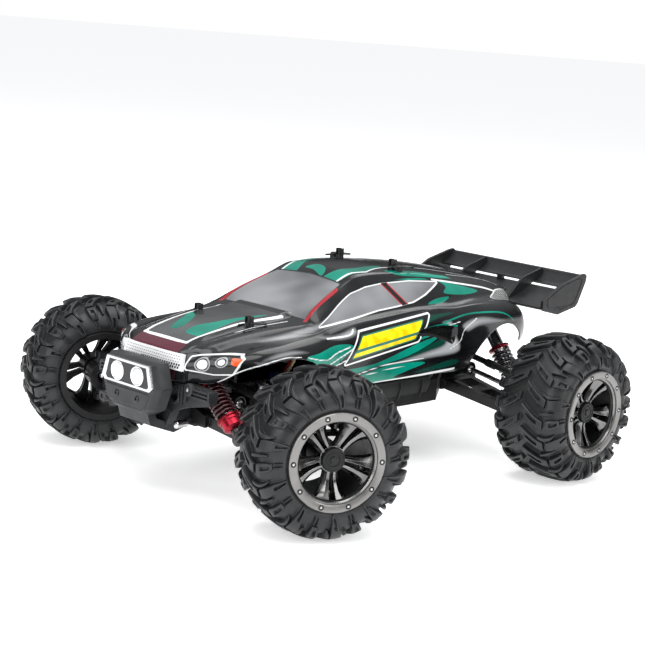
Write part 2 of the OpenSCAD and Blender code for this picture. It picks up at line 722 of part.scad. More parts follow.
placed() chassis_tub();
placed() gearbox(FRONT);  // front_gearbox
placed() gearbox(REAR);  // rear_gearbox
placed() front_shock_tower();
placed() rear_shock_tower();
placed() front_bumper();
placed() headlamp_unit();
placed() wing();
placed() body_shell();
placed() body_clips();
placed() motor();
placed() motor_pinion();
placed() centre_shaft();
placed() battery();
placed() steering_servo();
placed() steering_rack();
placed() tie_rod(LEFT);  // tie_rod_l
placed() tie_rod(RIGHT);  // tie_rod_r
placed() c_hub(LEFT);  // c_hub_fl
placed() c_hub(RIGHT);  // c_hub_fr
placed() knuckle(LEFT);  // knuckle_fl
placed() knuckle(RIGHT);  // knuckle_fr
placed() hub_carrier(LEFT);  // hub_carrier_rl
placed() hub_carrier(RIGHT);  // hub_carrier_rr
placed() tyre(FRONT, LEFT);  // tyre_fl
placed() tyre(FRONT, RIGHT);  // tyre_fr
placed() tyre(REAR, LEFT);  // tyre_rl
placed() tyre(REAR, RIGHT);  // tyre_rr
placed() rim(FRONT, LEFT);  // rim_fl
placed() rim(FRONT, RIGHT);  // rim_fr
placed() rim(REAR, LEFT);  // rim_rl
placed() rim(REAR, RIGHT);  // rim_rr
placed() axle(FRONT, LEFT);  // axle_fl
placed() axle(FRONT, RIGHT);  // axle_fr
placed() axle(REAR, LEFT);  // axle_rl
placed() axle(REAR, RIGHT);  // axle_rr
placed() lower_arm(FRONT, LEFT);  // lower_arm_fl
placed() lower_arm(FRONT, RIGHT);  // lower_arm_fr
placed() lower_arm(REAR, LEFT);  // lower_arm_rl
placed() lower_arm(REAR, RIGHT);  // lower_arm_rr
placed() upper_link(FRONT, LEFT);  // upper_link_fl
placed() upper_link(FRONT, RIGHT);  // upper_link_fr
placed() upper_link(REAR, LEFT);  // upper_link_rl
placed() upper_link(REAR, RIGHT);  // upper_link_rr
placed() driveshaft(FRONT, LEFT);  // driveshaft_fl
placed() driveshaft(FRONT, RIGHT);  // driveshaft_fr
placed() driveshaft(REAR, LEFT);  // driveshaft_rl
placed() driveshaft(REAR, RIGHT);  // driveshaft_rr
placed() shock_body(FRONT, LEFT);  // shock_body_fl
placed() shock_body(FRONT, RIGHT);  // shock_body_fr
placed() shock_body(REAR, LEFT);  // shock_body_rl
placed() shock_body(REAR, RIGHT);  // shock_body_rr
placed() shock_rod(FRONT, LEFT);  // shock_rod_fl
placed() shock_rod(FRONT, RIGHT);  // shock_rod_fr
placed() shock_rod(REAR, LEFT);  // shock_rod_rl
placed() shock_rod(REAR, RIGHT);  // shock_rod_rr
placed() spring(FRONT, LEFT);  // spring_fl
placed() spring(FRONT, RIGHT);  // spring_fr
placed() spring(REAR, LEFT);  // spring_rl
placed() spring(REAR, RIGHT);  // spring_rr
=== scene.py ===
import json
import math

import bmesh
import bpy
import numpy as np
from mathutils import Matrix, Vector

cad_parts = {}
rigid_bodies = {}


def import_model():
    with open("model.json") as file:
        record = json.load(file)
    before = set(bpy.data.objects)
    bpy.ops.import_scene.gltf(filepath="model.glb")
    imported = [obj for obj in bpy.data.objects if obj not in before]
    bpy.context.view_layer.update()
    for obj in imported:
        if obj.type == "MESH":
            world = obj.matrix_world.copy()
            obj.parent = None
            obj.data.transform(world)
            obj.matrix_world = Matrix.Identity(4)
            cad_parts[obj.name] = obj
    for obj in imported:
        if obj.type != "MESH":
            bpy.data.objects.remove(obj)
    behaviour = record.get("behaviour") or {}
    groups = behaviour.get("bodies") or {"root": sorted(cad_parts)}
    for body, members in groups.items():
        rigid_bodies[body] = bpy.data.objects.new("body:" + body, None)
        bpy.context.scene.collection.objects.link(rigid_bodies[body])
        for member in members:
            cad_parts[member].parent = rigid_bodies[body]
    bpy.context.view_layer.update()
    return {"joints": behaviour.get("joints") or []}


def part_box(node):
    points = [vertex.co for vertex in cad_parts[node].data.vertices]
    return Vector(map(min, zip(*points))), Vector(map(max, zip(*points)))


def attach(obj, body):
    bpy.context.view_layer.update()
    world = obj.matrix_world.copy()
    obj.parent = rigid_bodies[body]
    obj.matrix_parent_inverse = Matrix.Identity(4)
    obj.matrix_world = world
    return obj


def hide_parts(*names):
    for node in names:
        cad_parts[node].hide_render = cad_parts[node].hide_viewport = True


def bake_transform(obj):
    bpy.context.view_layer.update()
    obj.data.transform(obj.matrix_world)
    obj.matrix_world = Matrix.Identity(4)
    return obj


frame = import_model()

# Builders work in millimetres; piece() turns them into metres.
MM = 0.001
LEFT, RIGHT = 1, -1
CORNERS = {"fl": LEFT, "fr": RIGHT, "rl": LEFT, "rr": RIGHT}
JOINTS = {joint["name"]: joint for joint in frame["joints"]}


def low_mm(node):
    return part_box(node)[0] / MM


def high_mm(node):
    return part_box(node)[1] / MM


def joint_mm(name):
    return Vector(JOINTS[name]["pos_m"]) / MM


TYRE_R = (high_mm("tyre_rl").z - low_mm("tyre_rl").z) / 2
TYRE_HALF = (high_mm("tyre_rl").x - low_mm("tyre_rl").x) / 2
FRONT_Y = (low_mm("front_gearbox").y + high_mm("front_gearbox").y) / 2
REAR_Y = (low_mm("rear_gearbox").y + high_mm("rear_gearbox").y) / 2
MID_Y = (FRONT_Y + REAR_Y) / 2          # shapes of the body are given from midway between the axles


# ---- shapes ----

class Shape:
    """Vertices and faces that are gathered before they become a mesh."""

    def __init__(self, verts=(), faces=()):
        self.verts = [Vector(v) for v in verts]
        self.faces = [tuple(f) for f in faces]

    def add(self, *others):
        for other in others:
            start = len(self.verts)
            self.verts += other.verts
            self.faces += [tuple(i + start for i in face) for face in other.faces]
        return self

    def moved(self, matrix):
        return Shape([matrix @ v for v in self.verts], self.faces)

    def shifted(self, x=0, y=0, z=0):
        return self.moved(Matrix.Translation((x, y, z)))

    def mirrored(self):
        return self.moved(Matrix.Diagonal((-1, 1, 1, 1)))

    def both_sides(self):
        return Shape(self.verts, self.faces).add(self.mirrored())


def sheet(rows, wrap_rows=False, wrap_points=False):
    """Quads between rows of points."""
    count, width = len(rows), len(rows[0])
    faces = []
    for i in range(count if wrap_rows else count - 1):
        for k in range(width if wrap_points else width - 1):
            a, b = i * width, (i + 1) % count * width
            m = (k + 1) % width
            faces.append((a + k, a + m, b + m, b + k))
    return Shape([p for row in rows for p in row], faces)


def lathe(profile, segments=48, closed=True):
    """A profile of (x, radius) turned about the X axis."""
    rows = []
    for i in range(segments):
        a = 2 * math.pi * i / segments
        rows.append([(x, r * math.sin(a), r * math.cos(a)) for x, r in profile])
    return sheet(rows, wrap_rows=True, wrap_points=closed)


def prism(outline, low, high, axis="y"):
    """An outline drawn across one axis and carried along it from low to high."""
    place = {"x": lambda u, v, w: (w, u, v), "y": lambda u, v, w: (u, w, v), "z": lambda u, v, w: (u, v, w)}[axis]
    count = len(outline)
    verts = [place(u, v, w) for w in (low, high) for u, v in outline]
    faces = [tuple(range(count)), tuple(range(2 * count - 1, count - 1, -1))]
    faces += [(i, (i + 1) % count, (i + 1) % count + count, i + count) for i in range(count)]
    return Shape(verts, faces)


def box(low, high):
    return prism([(low[0], low[1]), (high[0], low[1]), (high[0], high[1]), (low[0], high[1])], low[2], high[2], "z")


def facing(origin, direction):
    """A matrix that puts local +X along direction at origin."""
    turn = Vector(direction).normalized().to_track_quat("X", "Z").to_matrix().to_4x4()
    return Matrix.Translation(origin) @ turn


def tube(path, radius, sides=10):
    """A round bar along a path, with flat ends."""
    points = [Vector(p) for p in path]
    side = None
    rows = []
    for i, p in enumerate(points):
        ahead = (points[min(i + 1, len(points) - 1)] - points[max(i - 1, 0)]).normalized()
        if side is None:
            side = ahead.orthogonal().normalized()
        side = (side - ahead * side.dot(ahead)).normalized()
        other = ahead.cross(side)
        angles = [2 * math.pi * k / sides for k in range(sides)]
        rows.append([p + (side * math.cos(a) + other * math.sin(a)) * radius for a in angles])
    shape = sheet(rows, wrap_points=True)
    last = (len(rows) - 1) * sides
    shape.faces += [tuple(range(sides - 1, -1, -1)), tuple(range(last, last + sides))]
    return shape


def smooth_path(points, steps=6, closed=False):
    """Points along a Catmull-Rom curve through the given ones."""
    pts = [np.array(p, float) for p in points]
    count = len(pts)
    out = []
    for i in range(count if closed else count - 1):
        if closed:
            a, b, c, d = (pts[(i + k) % count] for k in (-1, 0, 1, 2))
        else:
            a, b, c, d = pts[max(i - 1, 0)], pts[i], pts[i + 1], pts[min(i + 2, count - 1)]
        for k in range(steps):
            t = k / steps
            out.append(0.5 * (2 * b + (c - a) * t + (2 * a - 5 * b + 4 * c - d) * t * t
                              + (3 * b - a - 3 * c + d) * t ** 3))
    if not closed:
        out.append(pts[-1])
    return out


def screw(origin, direction, radius=1.6, height=1.2):
    """A button-head screw with a six-sided socket; origin is where the head sits."""
    socket = radius * 0.5
    head = lathe([(-1.5, 0), (-1.5, radius * 0.6), (0, radius * 0.6), (0, radius), (height * 0.45, radius * 0.97),
                  (height, radius * 0.62), (height, socket)], 20, closed=False)
    well = lathe([(height, socket), (height * 0.35, socket), (height * 0.35, 0)], 6, closed=False)
    rim = lathe([(height, socket), (height * 0.98, socket * 0.9)], 20, closed=False)
    return Shape().add(head, well, rim).moved(facing(origin, direction))


def piece(name, shape, finish, body, replaces=(), bevel=0.0, angle=38, thickness=0.0):
    """Makes a mesh object from a shape and lets it ride on a CAD body."""
    bm = bmesh.new()
    verts = [bm.verts.new(v * MM) for v in shape.verts]
    for face in shape.faces:
        corners = [verts[i] for i in face]
        if len(set(corners)) > 2:
            bm.faces.new(corners)
    bmesh.ops.remove_doubles(bm, verts=bm.verts, dist=2e-6)
    bmesh.ops.dissolve_degenerate(bm, edges=bm.edges, dist=1e-6)
    loose = [v for v in bm.verts if not v.link_faces]
    bmesh.ops.delete(bm, geom=loose, context="VERTS")
    bmesh.ops.recalc_face_normals(bm, faces=bm.faces)
    if bevel:
        sharp = [e for e in bm.edges if len(e.link_faces) == 2 and e.calc_face_angle(0) > math.radians(angle)]
        bmesh.ops.bevel(bm, geom=sharp, offset=bevel * MM, offset_type="OFFSET", segments=2, profile=0.65,
                        affect="EDGES", clamp_overlap=True)
    mesh = bpy.data.meshes.new(name)
    bm.to_mesh(mesh)
    bm.free()
    mesh.shade_smooth()
    mesh.set_sharp_from_angle(angle=math.radians(angle))
    mesh.materials.append(finish)
    thing = bpy.data.objects.new(name, mesh)
    bpy.context.scene.collection.objects.link(thing)
    if thickness:
        solid = thing.modifiers.new("thickness", "SOLIDIFY")
        solid.thickness, solid.offset = thickness * MM, -1
    if bevel:
        thing.modifiers.new("flat_faces", "WEIGHTED_NORMAL").keep_sharp = True
    if body:
        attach(thing, body)
    if replaces:
        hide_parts(*replaces)
    return thing


# ---- materials ----

class Nodes:
    """Short names for building a material's nodes."""

    def __init__(self, name):
        self.material = bpy.data.materials.new(name)
        self.material.use_nodes = True
        self.tree = self.material.node_tree
        self.shader = self.tree.nodes["Principled BSDF"]
        self.place = self.tree.nodes.new("ShaderNodeTexCoord").outputs["Object"]

    def put(self, node, socket, value):
        if isinstance(value, bpy.types.NodeSocket):
            self.tree.links.new(value, node.inputs[socket])
        elif isinstance(value, (tuple, list)) and len(value) == 3 and node.inputs[socket].type == "RGBA":
            node.inputs[socket].default_value = (*value, 1)
        else:
            node.inputs[socket].default_value = value

    def set(self, **values):
        for socket, value in values.items():
            self.put(self.shader, socket.replace("_", " "), value)

    def math(self, operation, a, b=0.0, clamp=False):
        node = self.tree.nodes.new("ShaderNodeMath")
        node.operation, node.use_clamp = operation, clamp
        self.put(node, 0, a)
        self.put(node, 1, b)
        return node.outputs[0]

    def mix(self, share, a, b):
        node = self.tree.nodes.new("ShaderNodeMix")
        node.data_type = "RGBA"
        self.put(node, 0, share)
        self.put(node, 6, a)
        self.put(node, 7, b)
        return node.outputs[2]

    def noise(self, scale, detail=3.0, place=None):
        node = self.tree.nodes.new("ShaderNodeTexNoise")
        self.put(node, "Vector", place or self.place)
        self.put(node, "Scale", scale)
        self.put(node, "Detail", detail)
        return node.outputs["Fac"]

    def ramp(self, value, low, high, out_low=0.0, out_high=1.0):
        node = self.tree.nodes.new("ShaderNodeMapRange")
        for socket, number in zip(range(5), (value, low, high, out_low, out_high)):
            self.put(node, socket, number)
        return node.outputs[0]

    def bump(self, height, distance, strength=1.0, normal=None):
        node = self.tree.nodes.new("ShaderNodeBump")
        self.put(node, "Height", height)
        self.put(node, "Distance", distance)
        self.put(node, "Strength", strength)
        if normal:
            self.put(node, "Normal", normal)
        return node.outputs[0]

    def rounded(self, radius):
        node = self.tree.nodes.new("ShaderNodeBevel")
        node.samples = 4
        self.put(node, "Radius", radius * MM)
        return node.outputs[0]

    def edges(self, radius):
        """Near 1 along edges, from how far a rounded normal leans from the true one."""
        geometry = self.tree.nodes.new("ShaderNodeNewGeometry")
        dot = self.tree.nodes.new("ShaderNodeVectorMath")
        dot.operation = "DOT_PRODUCT"
        self.put(dot, 0, self.rounded(radius))
        self.put(dot, 1, geometry.outputs["Normal"])
        return self.ramp(dot.outputs["Value"], 0.98, 0.75)


def finish(name, colour, rough=0.5, metal=0.0, coat=0.0, grain=0.02, grain_scale=2500, vary=0.2, wear_and_sheen=0.25,
           worn_and_sheen=None, rounding=0.35, spec=0.5):
    """A solid finish with uneven colour and gloss, surface grain and lighter edges, partly wear and partly painted
    highlight.
    """
    n = Nodes(name)
    dark = tuple(c * (1 - vary) for c in colour)
    light = tuple(min(1, c * (1 + vary) + 0.004) for c in colour)
    base = n.mix(n.ramp(n.noise(45, 4), 0.3, 0.7), dark, light)
    # lighter edges: partly real wear, partly painted highlight
    if wear_and_sheen:
        worn_and_sheen = worn_and_sheen or tuple(min(1, c * 2.2 + 0.03) for c in colour)
        share = n.math("MULTIPLY", n.edges(rounding), n.ramp(n.noise(300, 3), 0.35, 0.65, wear_and_sheen * 0.4, wear_and_sheen))
        base = n.mix(share, base, worn_and_sheen)
    n.set(Base_Color=base, Metallic=metal, Coat_Weight=coat, Coat_Roughness=0.08)
    n.set(Roughness=n.ramp(n.noise(160, 3), 0.3, 0.7, max(0.02, rough - 0.08), rough + 0.08))
    n.put(n.shader, "Specular IOR Level", spec)
    rounded = n.rounded(rounding) if rounding else None
    n.set(Normal=n.bump(n.noise(grain_scale, 2), grain * MM, normal=rounded))
    return n.material

# the tyre's lighter lug edges are partly rubbed wear and partly painted highlight
RUBBER = finish("tyre_rubber", (0.0085, 0.009, 0.01), rough=0.42, grain=0.04, grain_scale=1400, vary=0.3, wear_and_sheen=0.75,
                worn_and_sheen=(0.11, 0.115, 0.12), rounding=0.45, spec=0.42)
RING_METAL = finish("bead_ring_satin", (0.2, 0.195, 0.19), rough=0.34, metal=0.85, grain=0.01, grain_scale=4000,
                    vary=0.08, wear_and_sheen=0.3, worn_and_sheen=(0.75, 0.74, 0.72))
CHROME = finish("smoked_chrome", (0.15, 0.148, 0.147), rough=0.2, metal=1.0, grain=0.004, vary=0.25, wear_and_sheen=1.0,
                worn_and_sheen=(0.9, 0.88, 0.85), rounding=0.3)
BLACK = finish("black_nylon", (0.005, 0.0052, 0.0056), rough=0.42, grain=0.03, grain_scale=3000, wear_and_sheen=0.5,
               worn_and_sheen=(0.05, 0.052, 0.056), spec=0.3)
ARM_BLACK = finish("arm_nylon", (0.007, 0.0072, 0.0078), rough=0.34, grain=0.025, grain_scale=2600, wear_and_sheen=0.6,
                   worn_and_sheen=(0.1, 0.105, 0.11), spec=0.35)
BUMPER_GREY = finish("bumper_nylon", (0.02, 0.021, 0.023), rough=0.42, grain=0.03, grain_scale=2800, wear_and_sheen=0.7,
                     worn_and_sheen=(0.13, 0.135, 0.145), rounding=0.4, spec=0.35)
WING_BLACK = finish("wing_plastic", (0.009, 0.0093, 0.0102), rough=0.4, grain=0.02, grain_scale=3600, wear_and_sheen=0.7,
                    worn_and_sheen=(0.09, 0.093, 0.1), spec=0.33)
STEEL = finish("turned_steel", (0.55, 0.55, 0.56), rough=0.25, metal=1.0, grain=0.006, vary=0.1, wear_and_sheen=0.3,
               worn_and_sheen=(0.85, 0.85, 0.85))
BLACK_STEEL = finish("black_screws", (0.02, 0.02, 0.021), rough=0.28, metal=0.6, grain=0.004, wear_and_sheen=0.5,
                     worn_and_sheen=(0.3, 0.3, 0.3), rounding=0.12)
RED_METAL = finish("red_anodised", (0.3, 0.006, 0.02), rough=0.24, metal=0.8, grain=0.006, wear_and_sheen=0.5,
                   worn_and_sheen=(0.9, 0.35, 0.35), rounding=0.2)
SHOCK_BLACK = finish("black_anodised", (0.018, 0.018, 0.02), rough=0.26, metal=0.4, grain=0.006, wear_and_sheen=0.5,
                     worn_and_sheen=(0.3, 0.3, 0.31), rounding=0.2)
SILVER_METAL = finish("silver_anodised", (0.62, 0.62, 0.64), rough=0.22, metal=1.0, grain=0.006, wear_and_sheen=0.2, vary=0.1)
COIL_RED = finish("red_spring", (0.045, 0.004, 0.008), rough=0.22, metal=0.5, grain=0.004, wear_and_sheen=0.0, rounding=0,
                  coat=0.4)
SPRING = finish("coated_spring", (0.014, 0.014, 0.016), rough=0.25, metal=0.3, grain=0.004, wear_and_sheen=0.0, rounding=0,
                coat=0.3)
MOTOR_CAN = finish("motor_can", (0.3, 0.31, 0.33), rough=0.3, metal=1.0, grain=0.01, vary=0.12)
BRASS = finish("pinion_brass", (0.62, 0.44, 0.16), rough=0.28, metal=1.0, grain=0.005, vary=0.1)
PACK_WRAP = finish("battery_wrap", (0.015, 0.05, 0.22), rough=0.3, coat=0.4, grain=0.02, grain_scale=500, wear_and_sheen=0.2)
RED_WIRE = finish("red_wire", (0.5, 0.02, 0.012), rough=0.45, grain=0.005, wear_and_sheen=0, rounding=0)
CREAM_WIRE = finish("cream_wire", (0.62, 0.5, 0.33), rough=0.5, grain=0.005, wear_and_sheen=0, rounding=0)
PALE_TRIM = finish("pale_trim", (0.8, 0.81, 0.81), rough=0.35, metal=0.0, grain=0.01, vary=0.06, wear_and_sheen=0.1)
LENS = finish("lamp_lens", (0.9, 0.92, 0.95), rough=0.06, metal=0.3, coat=1.0, grain=0.004, vary=0.1, wear_and_sheen=0)
BLACK_WIRE = finish("black_wire", (0.012, 0.012, 0.013), rough=0.45, grain=0.005, wear_and_sheen=0, rounding=0)


# ---- wheels ----

LUG_PITCHES = 20
LUG_HEIGHT = 3.9
# Half of the tyre's outer wall between tread and bead: x across the tyre and radius
HALF_WALL = [(0, TYRE_R - 3.9), (9, TYRE_R - 4.1), (16, TYRE_R - 5), (20.5, TYRE_R - 7), (24, TYRE_R - 10.4),
             (26.1, TYRE_R - 14.4), (26.5, TYRE_R - 17.6), (25.8, TYRE_R - 20.2), (24.9, TYRE_R - 21.6)]
WALL = [Vector((p[0], p[1])) for p in smooth_path(HALF_WALL, 5)]
REACH = [0.0]
for before, after in zip(WALL, WALL[1:]):
    REACH.append(REACH[-1] + (after - before).length)


def on_tyre(s, t, height):
    """The point s mm from the crown across the tyre, t mm round it and height mm off the wall."""
    side = 1 if s >= 0 else -1
    s = min(abs(s), REACH[-1] - 0.01)
    i = max(k for k in range(len(REACH) - 1) if REACH[k] <= s)
    span = WALL[i + 1] - WALL[i]
    at = WALL[i] + span * ((s - REACH[i]) / (REACH[i + 1] - REACH[i]))
    out = Vector((-span.y, span.x)).normalized()
    x, r = at.x + out.x * height, at.y + out.y * height
    a = t / TYRE_R
    return Vector((side * x, r * math.sin(a), r * math.cos(a)))


def lug(side, start, path, pocket=()):
    """A raised block with bevelled edges; path holds (s, t, half width, height) and pocket the share it sinks."""
    points = smooth_path(path, 3)
    rows = []
    for k, (s, t, half, height) in enumerate(points):
        share = k / (len(points) - 1)
        sunk = 2.1 if pocket and pocket[0] <= share <= pocket[1] else 0.0
        well = half * 0.46
        section = [(-half - 0.35, -1.2), (-half, height - 0.55), (-half + 0.5, height), (-well, height),
                   (-well + 0.15, height - sunk), (well - 0.15, height - sunk), (well, height),
                   (half - 0.5, height), (half, height - 0.55), (half + 0.35, -1.2)]
        rows.append([on_tyre(side * s, start + t + across, up) for across, up in section])
    shape = sheet(rows, wrap_points=True)
    count = len(rows[0])
    last = len(shape.verts) - count
    shape.faces += [tuple(range(count)), tuple(range(last + count - 1, last - 1, -1))]
    return shape


def tread_pitch(side, start, long_lug):
    """The blocks in one twentieth of one side of the tread."""
    h = LUG_HEIGHT
    blocks = [lug(side, start, [(1.2, 6.2, 2.7, h), (6, 2.6, 3.0, h), (12, -1.6, 3.2, h), (17.5, -4.4, 3.0, h)],
                  (0.3, 0.72))]
    if long_lug:
        blocks.append(lug(side, start, [(19.4, -4.9, 3.5, h), (22.5, -4.3, 3.9, 4.2), (26, -3.0, 3.6, 4.2),
                                        (29.5, -1.6, 3.1, 3.4), (33, -0.6, 2.3, 2.2), (36, 0.1, 1.2, 0.8)],
                          (0.48, 0.82)))
        blocks.append(lug(side, start, [(14.5, 2.2, 1.1, h * 0.8), (18.5, 0.7, 1.3, h * 0.85),
                                        (22.5, 1.4, 1.2, h * 0.75), (25.5, 3.2, 0.8, 1.2)]))
    else:
        blocks.append(lug(side, start, [(19.2, -3.9, 3.2, h), (22.2, -3.3, 3.5, 4.2), (25.4, -2.6, 3.1, 3.6),
                                        (27.6, -2.0, 2.4, 2.2)], (0.3, 0.7)))
        for across in (-1.7, 1.5):
            blocks.append(lug(side, start, [(28.4, across - 1.6, 0.75, 1.6), (31, across - 1.1, 0.75, 1.5),
                                            (33.6, across - 0.7, 0.6, 0.9)]))
        blocks.append(lug(side, start, [(14.5, 3.4, 1.2, h * 0.8), (19, 4.4, 1.2, h * 0.8), (24, 5.4, 0.9, 2.0)]))
    return blocks


def tyre_shape():
    outer = [(p.x, p.y) for p in WALL]
    inner = [(24.4, TYRE_R - 22.1), (21.5, TYRE_R - 19.5), (22.3, TYRE_R - 14), (17, TYRE_R - 8.5), (0, TYRE_R - 7.5)]
    half = outer + inner
    profile = half + [(-x, r) for x, r in reversed(half[:-1])][:-1]
    shape = lathe(profile, 144)
    pitch = 2 * math.pi * TYRE_R / LUG_PITCHES
    for i in range(LUG_PITCHES):
        for side, shift in ((1, 0), (-1, 0.5)):
            for block in tread_pitch(side, (i + shift) * pitch, i % 2 == 0):
                shape.add(block)
    for x in (25.3, 26.0):
        r = TYRE_R - 20.4 if x < 26 else TYRE_R - 18.9
        for side in (1, -1):
            shape.add(lathe([(side * (x - 0.5), r - 0.4), (side * (x + 0.25), r - 0.3), (side * (x + 0.25), r + 0.3),
                             (side * (x - 0.5), r + 0.4)], 96))
    return shape


RING_R = high_mm("rim_rl").z - TYRE_R - 0.9      # outside of the bead ring
RING_X = TYRE_HALF - 1                           # its outer face
SPOKES = 5
RING_SCREWS = 10


def barrel_shape():
    lip = RING_R - 5.2
    return lathe([(-28, 27.2), (-28, 31.4), (-26.8, 31.9), (-25.7, 31.3), (-25.2, 29.6), (20, 29.5), (24.9, 29.5),
                  (24.9, lip - 1.2), (23.6, lip - 1.9), (21.8, lip - 1.4), (21.2, lip - 0.2), (18, 26.6), (4, 27.1),
                  (-14, 27.1)], 96)


def ring_shape():
    inner = RING_R - 5.1
    ring = lathe([(RING_X - 2.9, RING_R), (RING_X - 0.5, RING_R), (RING_X, RING_R - 0.5), (RING_X, inner + 0.6),
                  (RING_X - 0.4, inner), (RING_X - 2.9, inner - 0.5)], 120)
    step = lathe([(RING_X - 3.2, inner + 0.3), (RING_X - 1.4, inner + 0.3), (RING_X - 1.4, inner - 0.6),
                  (RING_X - 2.2, inner - 1.5), (RING_X - 3.2, inner - 1.5)], 96)
    return ring, step


def half_spoke():
    """One bar of a double spoke that rises from the hub to the ring, with a bevelled outer flank."""
    stations = [(6.4, 0.9, 4.2, 19.2), (10, 1.0, 4.6, 18.5), (15, 1.3, 5.6, 19.3), (19, 1.7, 6.9, 20.8),
                (21, 1.9, 8.2, 21.8), (22.4, 2.0, 9.8, 22.6), (24.4, 2.1, 10.6, 23.6), (26.4, 2.1, 10.8, 23.8)]
    rows = []
    for r, near, far, front in stations:
        middle = near + (far - near) * 0.5
        section = [(16.5, near), (front - 0.5, near), (front, near + 0.35), (front - 0.25, middle),
                   (front - 2.2, far - 0.25), (front - 2.7, far), (15.9, far - 0.4)]
        rows.append([Vector((x, y, r)) for x, y in section])
    shape = sheet(rows, wrap_points=True)
    count = len(rows[0])
    last = len(shape.verts) - count
    shape.faces += [tuple(range(count)), tuple(range(last + count - 1, last - 1, -1))]
    return shape


def spokes_shape():
    bar = half_spoke()
    pair = Shape().add(bar, bar.moved(Matrix.Diagonal((1, -1, 1, 1))))
    shape = Shape()
    for i in range(SPOKES):
        turn = Matrix.Rotation(2 * math.pi * i / SPOKES + math.pi, 4, "X")
        shape.add(pair.moved(turn))
        shape.add(box((12.5, -0.9, 20), (17, 0.9, 27)).moved(turn))
    shape.add(lathe([(-2.6, 3.3), (-2.6, 8.8), (15, 8.8), (18.3, 8.2), (18.3, 3.3)], 48))
    return shape


def backing_shape():
    """The unplated inner face of the spokes."""
    shape = Shape()
    outline = [(6.4, 3.9), (10, 4.3), (15, 5.2), (21, 7.6), (26.8, 9.8)]
    for i in range(SPOKES):
        turn = Matrix.Rotation(2 * math.pi * i / SPOKES + math.pi, 4, "X")
        for side in (1, -1):
            limb = [(side * max(0.9, half * 0.2), r) for r, half in outline]
            far = [(side * half, r) for r, half in reversed(outline)]
            shape.add(prism(limb + far, 12.3, 17.2, "x").moved(turn))
    return shape.add(lathe([(-2.7, 3.2), (-2.7, 9.1), (14.6, 9.1), (14.6, 3.2)], 48))


def cap_shape():
    """The black hub cap: a stepped disc with a ring and a five-sided boss."""
    disc = lathe([(15, 0), (15, 7.6), (19.6, 7.7), (21.0, 7.2), (21.3, 6.4), (20.7, 5.9), (20.7, 5.0), (21.2, 4.6),
                  (21.2, 4.1), (20.6, 3.7), (20.6, 0)], 64, closed=False)
    boss = lathe([(20, 0), (20, 2.9), (21.6, 2.5), (21.6, 0)], 5, closed=False)
    return Shape().add(disc, boss)


def ring_screws():
    shape, centres = Shape(), Shape()
    for i in range(RING_SCREWS):
        a = 2 * math.pi * (i + 0.5) / RING_SCREWS
        at = Vector((RING_X - 0.35, (RING_R - 2.6) * math.sin(a), (RING_R - 2.6) * math.cos(a)))
        collar = lathe([(-0.5, 0.8), (0.3, 0.8), (0.62, 1.2), (0.5, 1.75), (-0.5, 1.8)], 24).shifted(*at)
        shape.add(collar)
        centres.add(lathe([(-0.4, 0.75), (0.45, 0.75), (0.6, 0.5), (0.6, 0)], 12, closed=False).shifted(*at))
    return shape, centres


def wheel_place(corner):
    """Puts a wheel's own frame, +X outwards, at a corner; the right side is a mirror image."""
    joint = JOINTS["wheel_" + corner]
    across = Vector(joint["axis"]).normalized()
    up = Vector((0, 0, 1))
    along = up.cross(across)
    out = across * CORNERS[corner]
    place = Matrix((out, along, up)).transposed().to_4x4()
    return Matrix.Translation(joint_mm("wheel_" + corner)) @ place


def wheels():
    tyre, barrel, spoke_set, cap = tyre_shape(), barrel_shape(), spokes_shape(), cap_shape()
    screws, centres = ring_screws()
    ring, step = ring_shape()
    backing = backing_shape()
    for corner in CORNERS:
        place, body = wheel_place(corner), "wheel_" + corner
        piece("tyre_lugged_" + corner, tyre.moved(place), RUBBER, body, ["tyre_" + corner], angle=32)
        piece("rim_barrel_" + corner, barrel.moved(place), BLACK, body, ["rim_" + corner])
        piece("rim_backing_" + corner, backing.moved(place), BLACK, body, bevel=0.2)
        piece("rim_spokes_" + corner, Shape().add(spoke_set, step).moved(place), CHROME, body,
              bevel=0.16, angle=24)
        piece("bead_ring_" + corner, ring.moved(place), RING_METAL, body)
        piece("hub_cap_" + corner, cap.moved(place), BLACK, body)
        piece("ring_screws_" + corner, screws.moved(place), BLACK, body)
        piece("screw_centres_" + corner, centres.moved(place), STEEL, body)


wheels()


# ---- body shell ----

def eased(places, values, at):
    """Smooth values between given places, without overshoot between them."""
    x, y = np.array(places, float), np.array(values, float)
    gap, rise = np.diff(x), np.diff(y)
    slope = rise / gap
    grade = np.zeros(len(x))
    grade[0], grade[-1] = slope[0], slope[-1]
    for i in range(1, len(x) - 1):
        if slope[i - 1] * slope[i] > 0:
            w0, w1 = 2 * gap[i] + gap[i - 1], gap[i] + 2 * gap[i - 1]
            grade[i] = (w0 + w1) / (w0 / slope[i - 1] + w1 / slope[i])
    i = np.clip(np.searchsorted(x, at) - 1, 0, len(x) - 2)
    t = np.clip((at - x[i]) / gap[i], 0, 1)
    return ((2 * t**3 - 3 * t**2 + 1) * y[i] + (t**3 - 2 * t**2 + t) * gap[i] * grade[i]
            + (-2 * t**3 + 3 * t**2) * y[i + 1] + (t**3 - t**2) * gap[i] * grade[i + 1])


BODY_HALF = high_mm("body_shell").x
ROOF_Z = high_mm("body_shell").z
NOSE_Y = low_mm("body_shell").y - MID_Y
TAIL_Y = high_mm("body_shell").y - MID_Y + 4

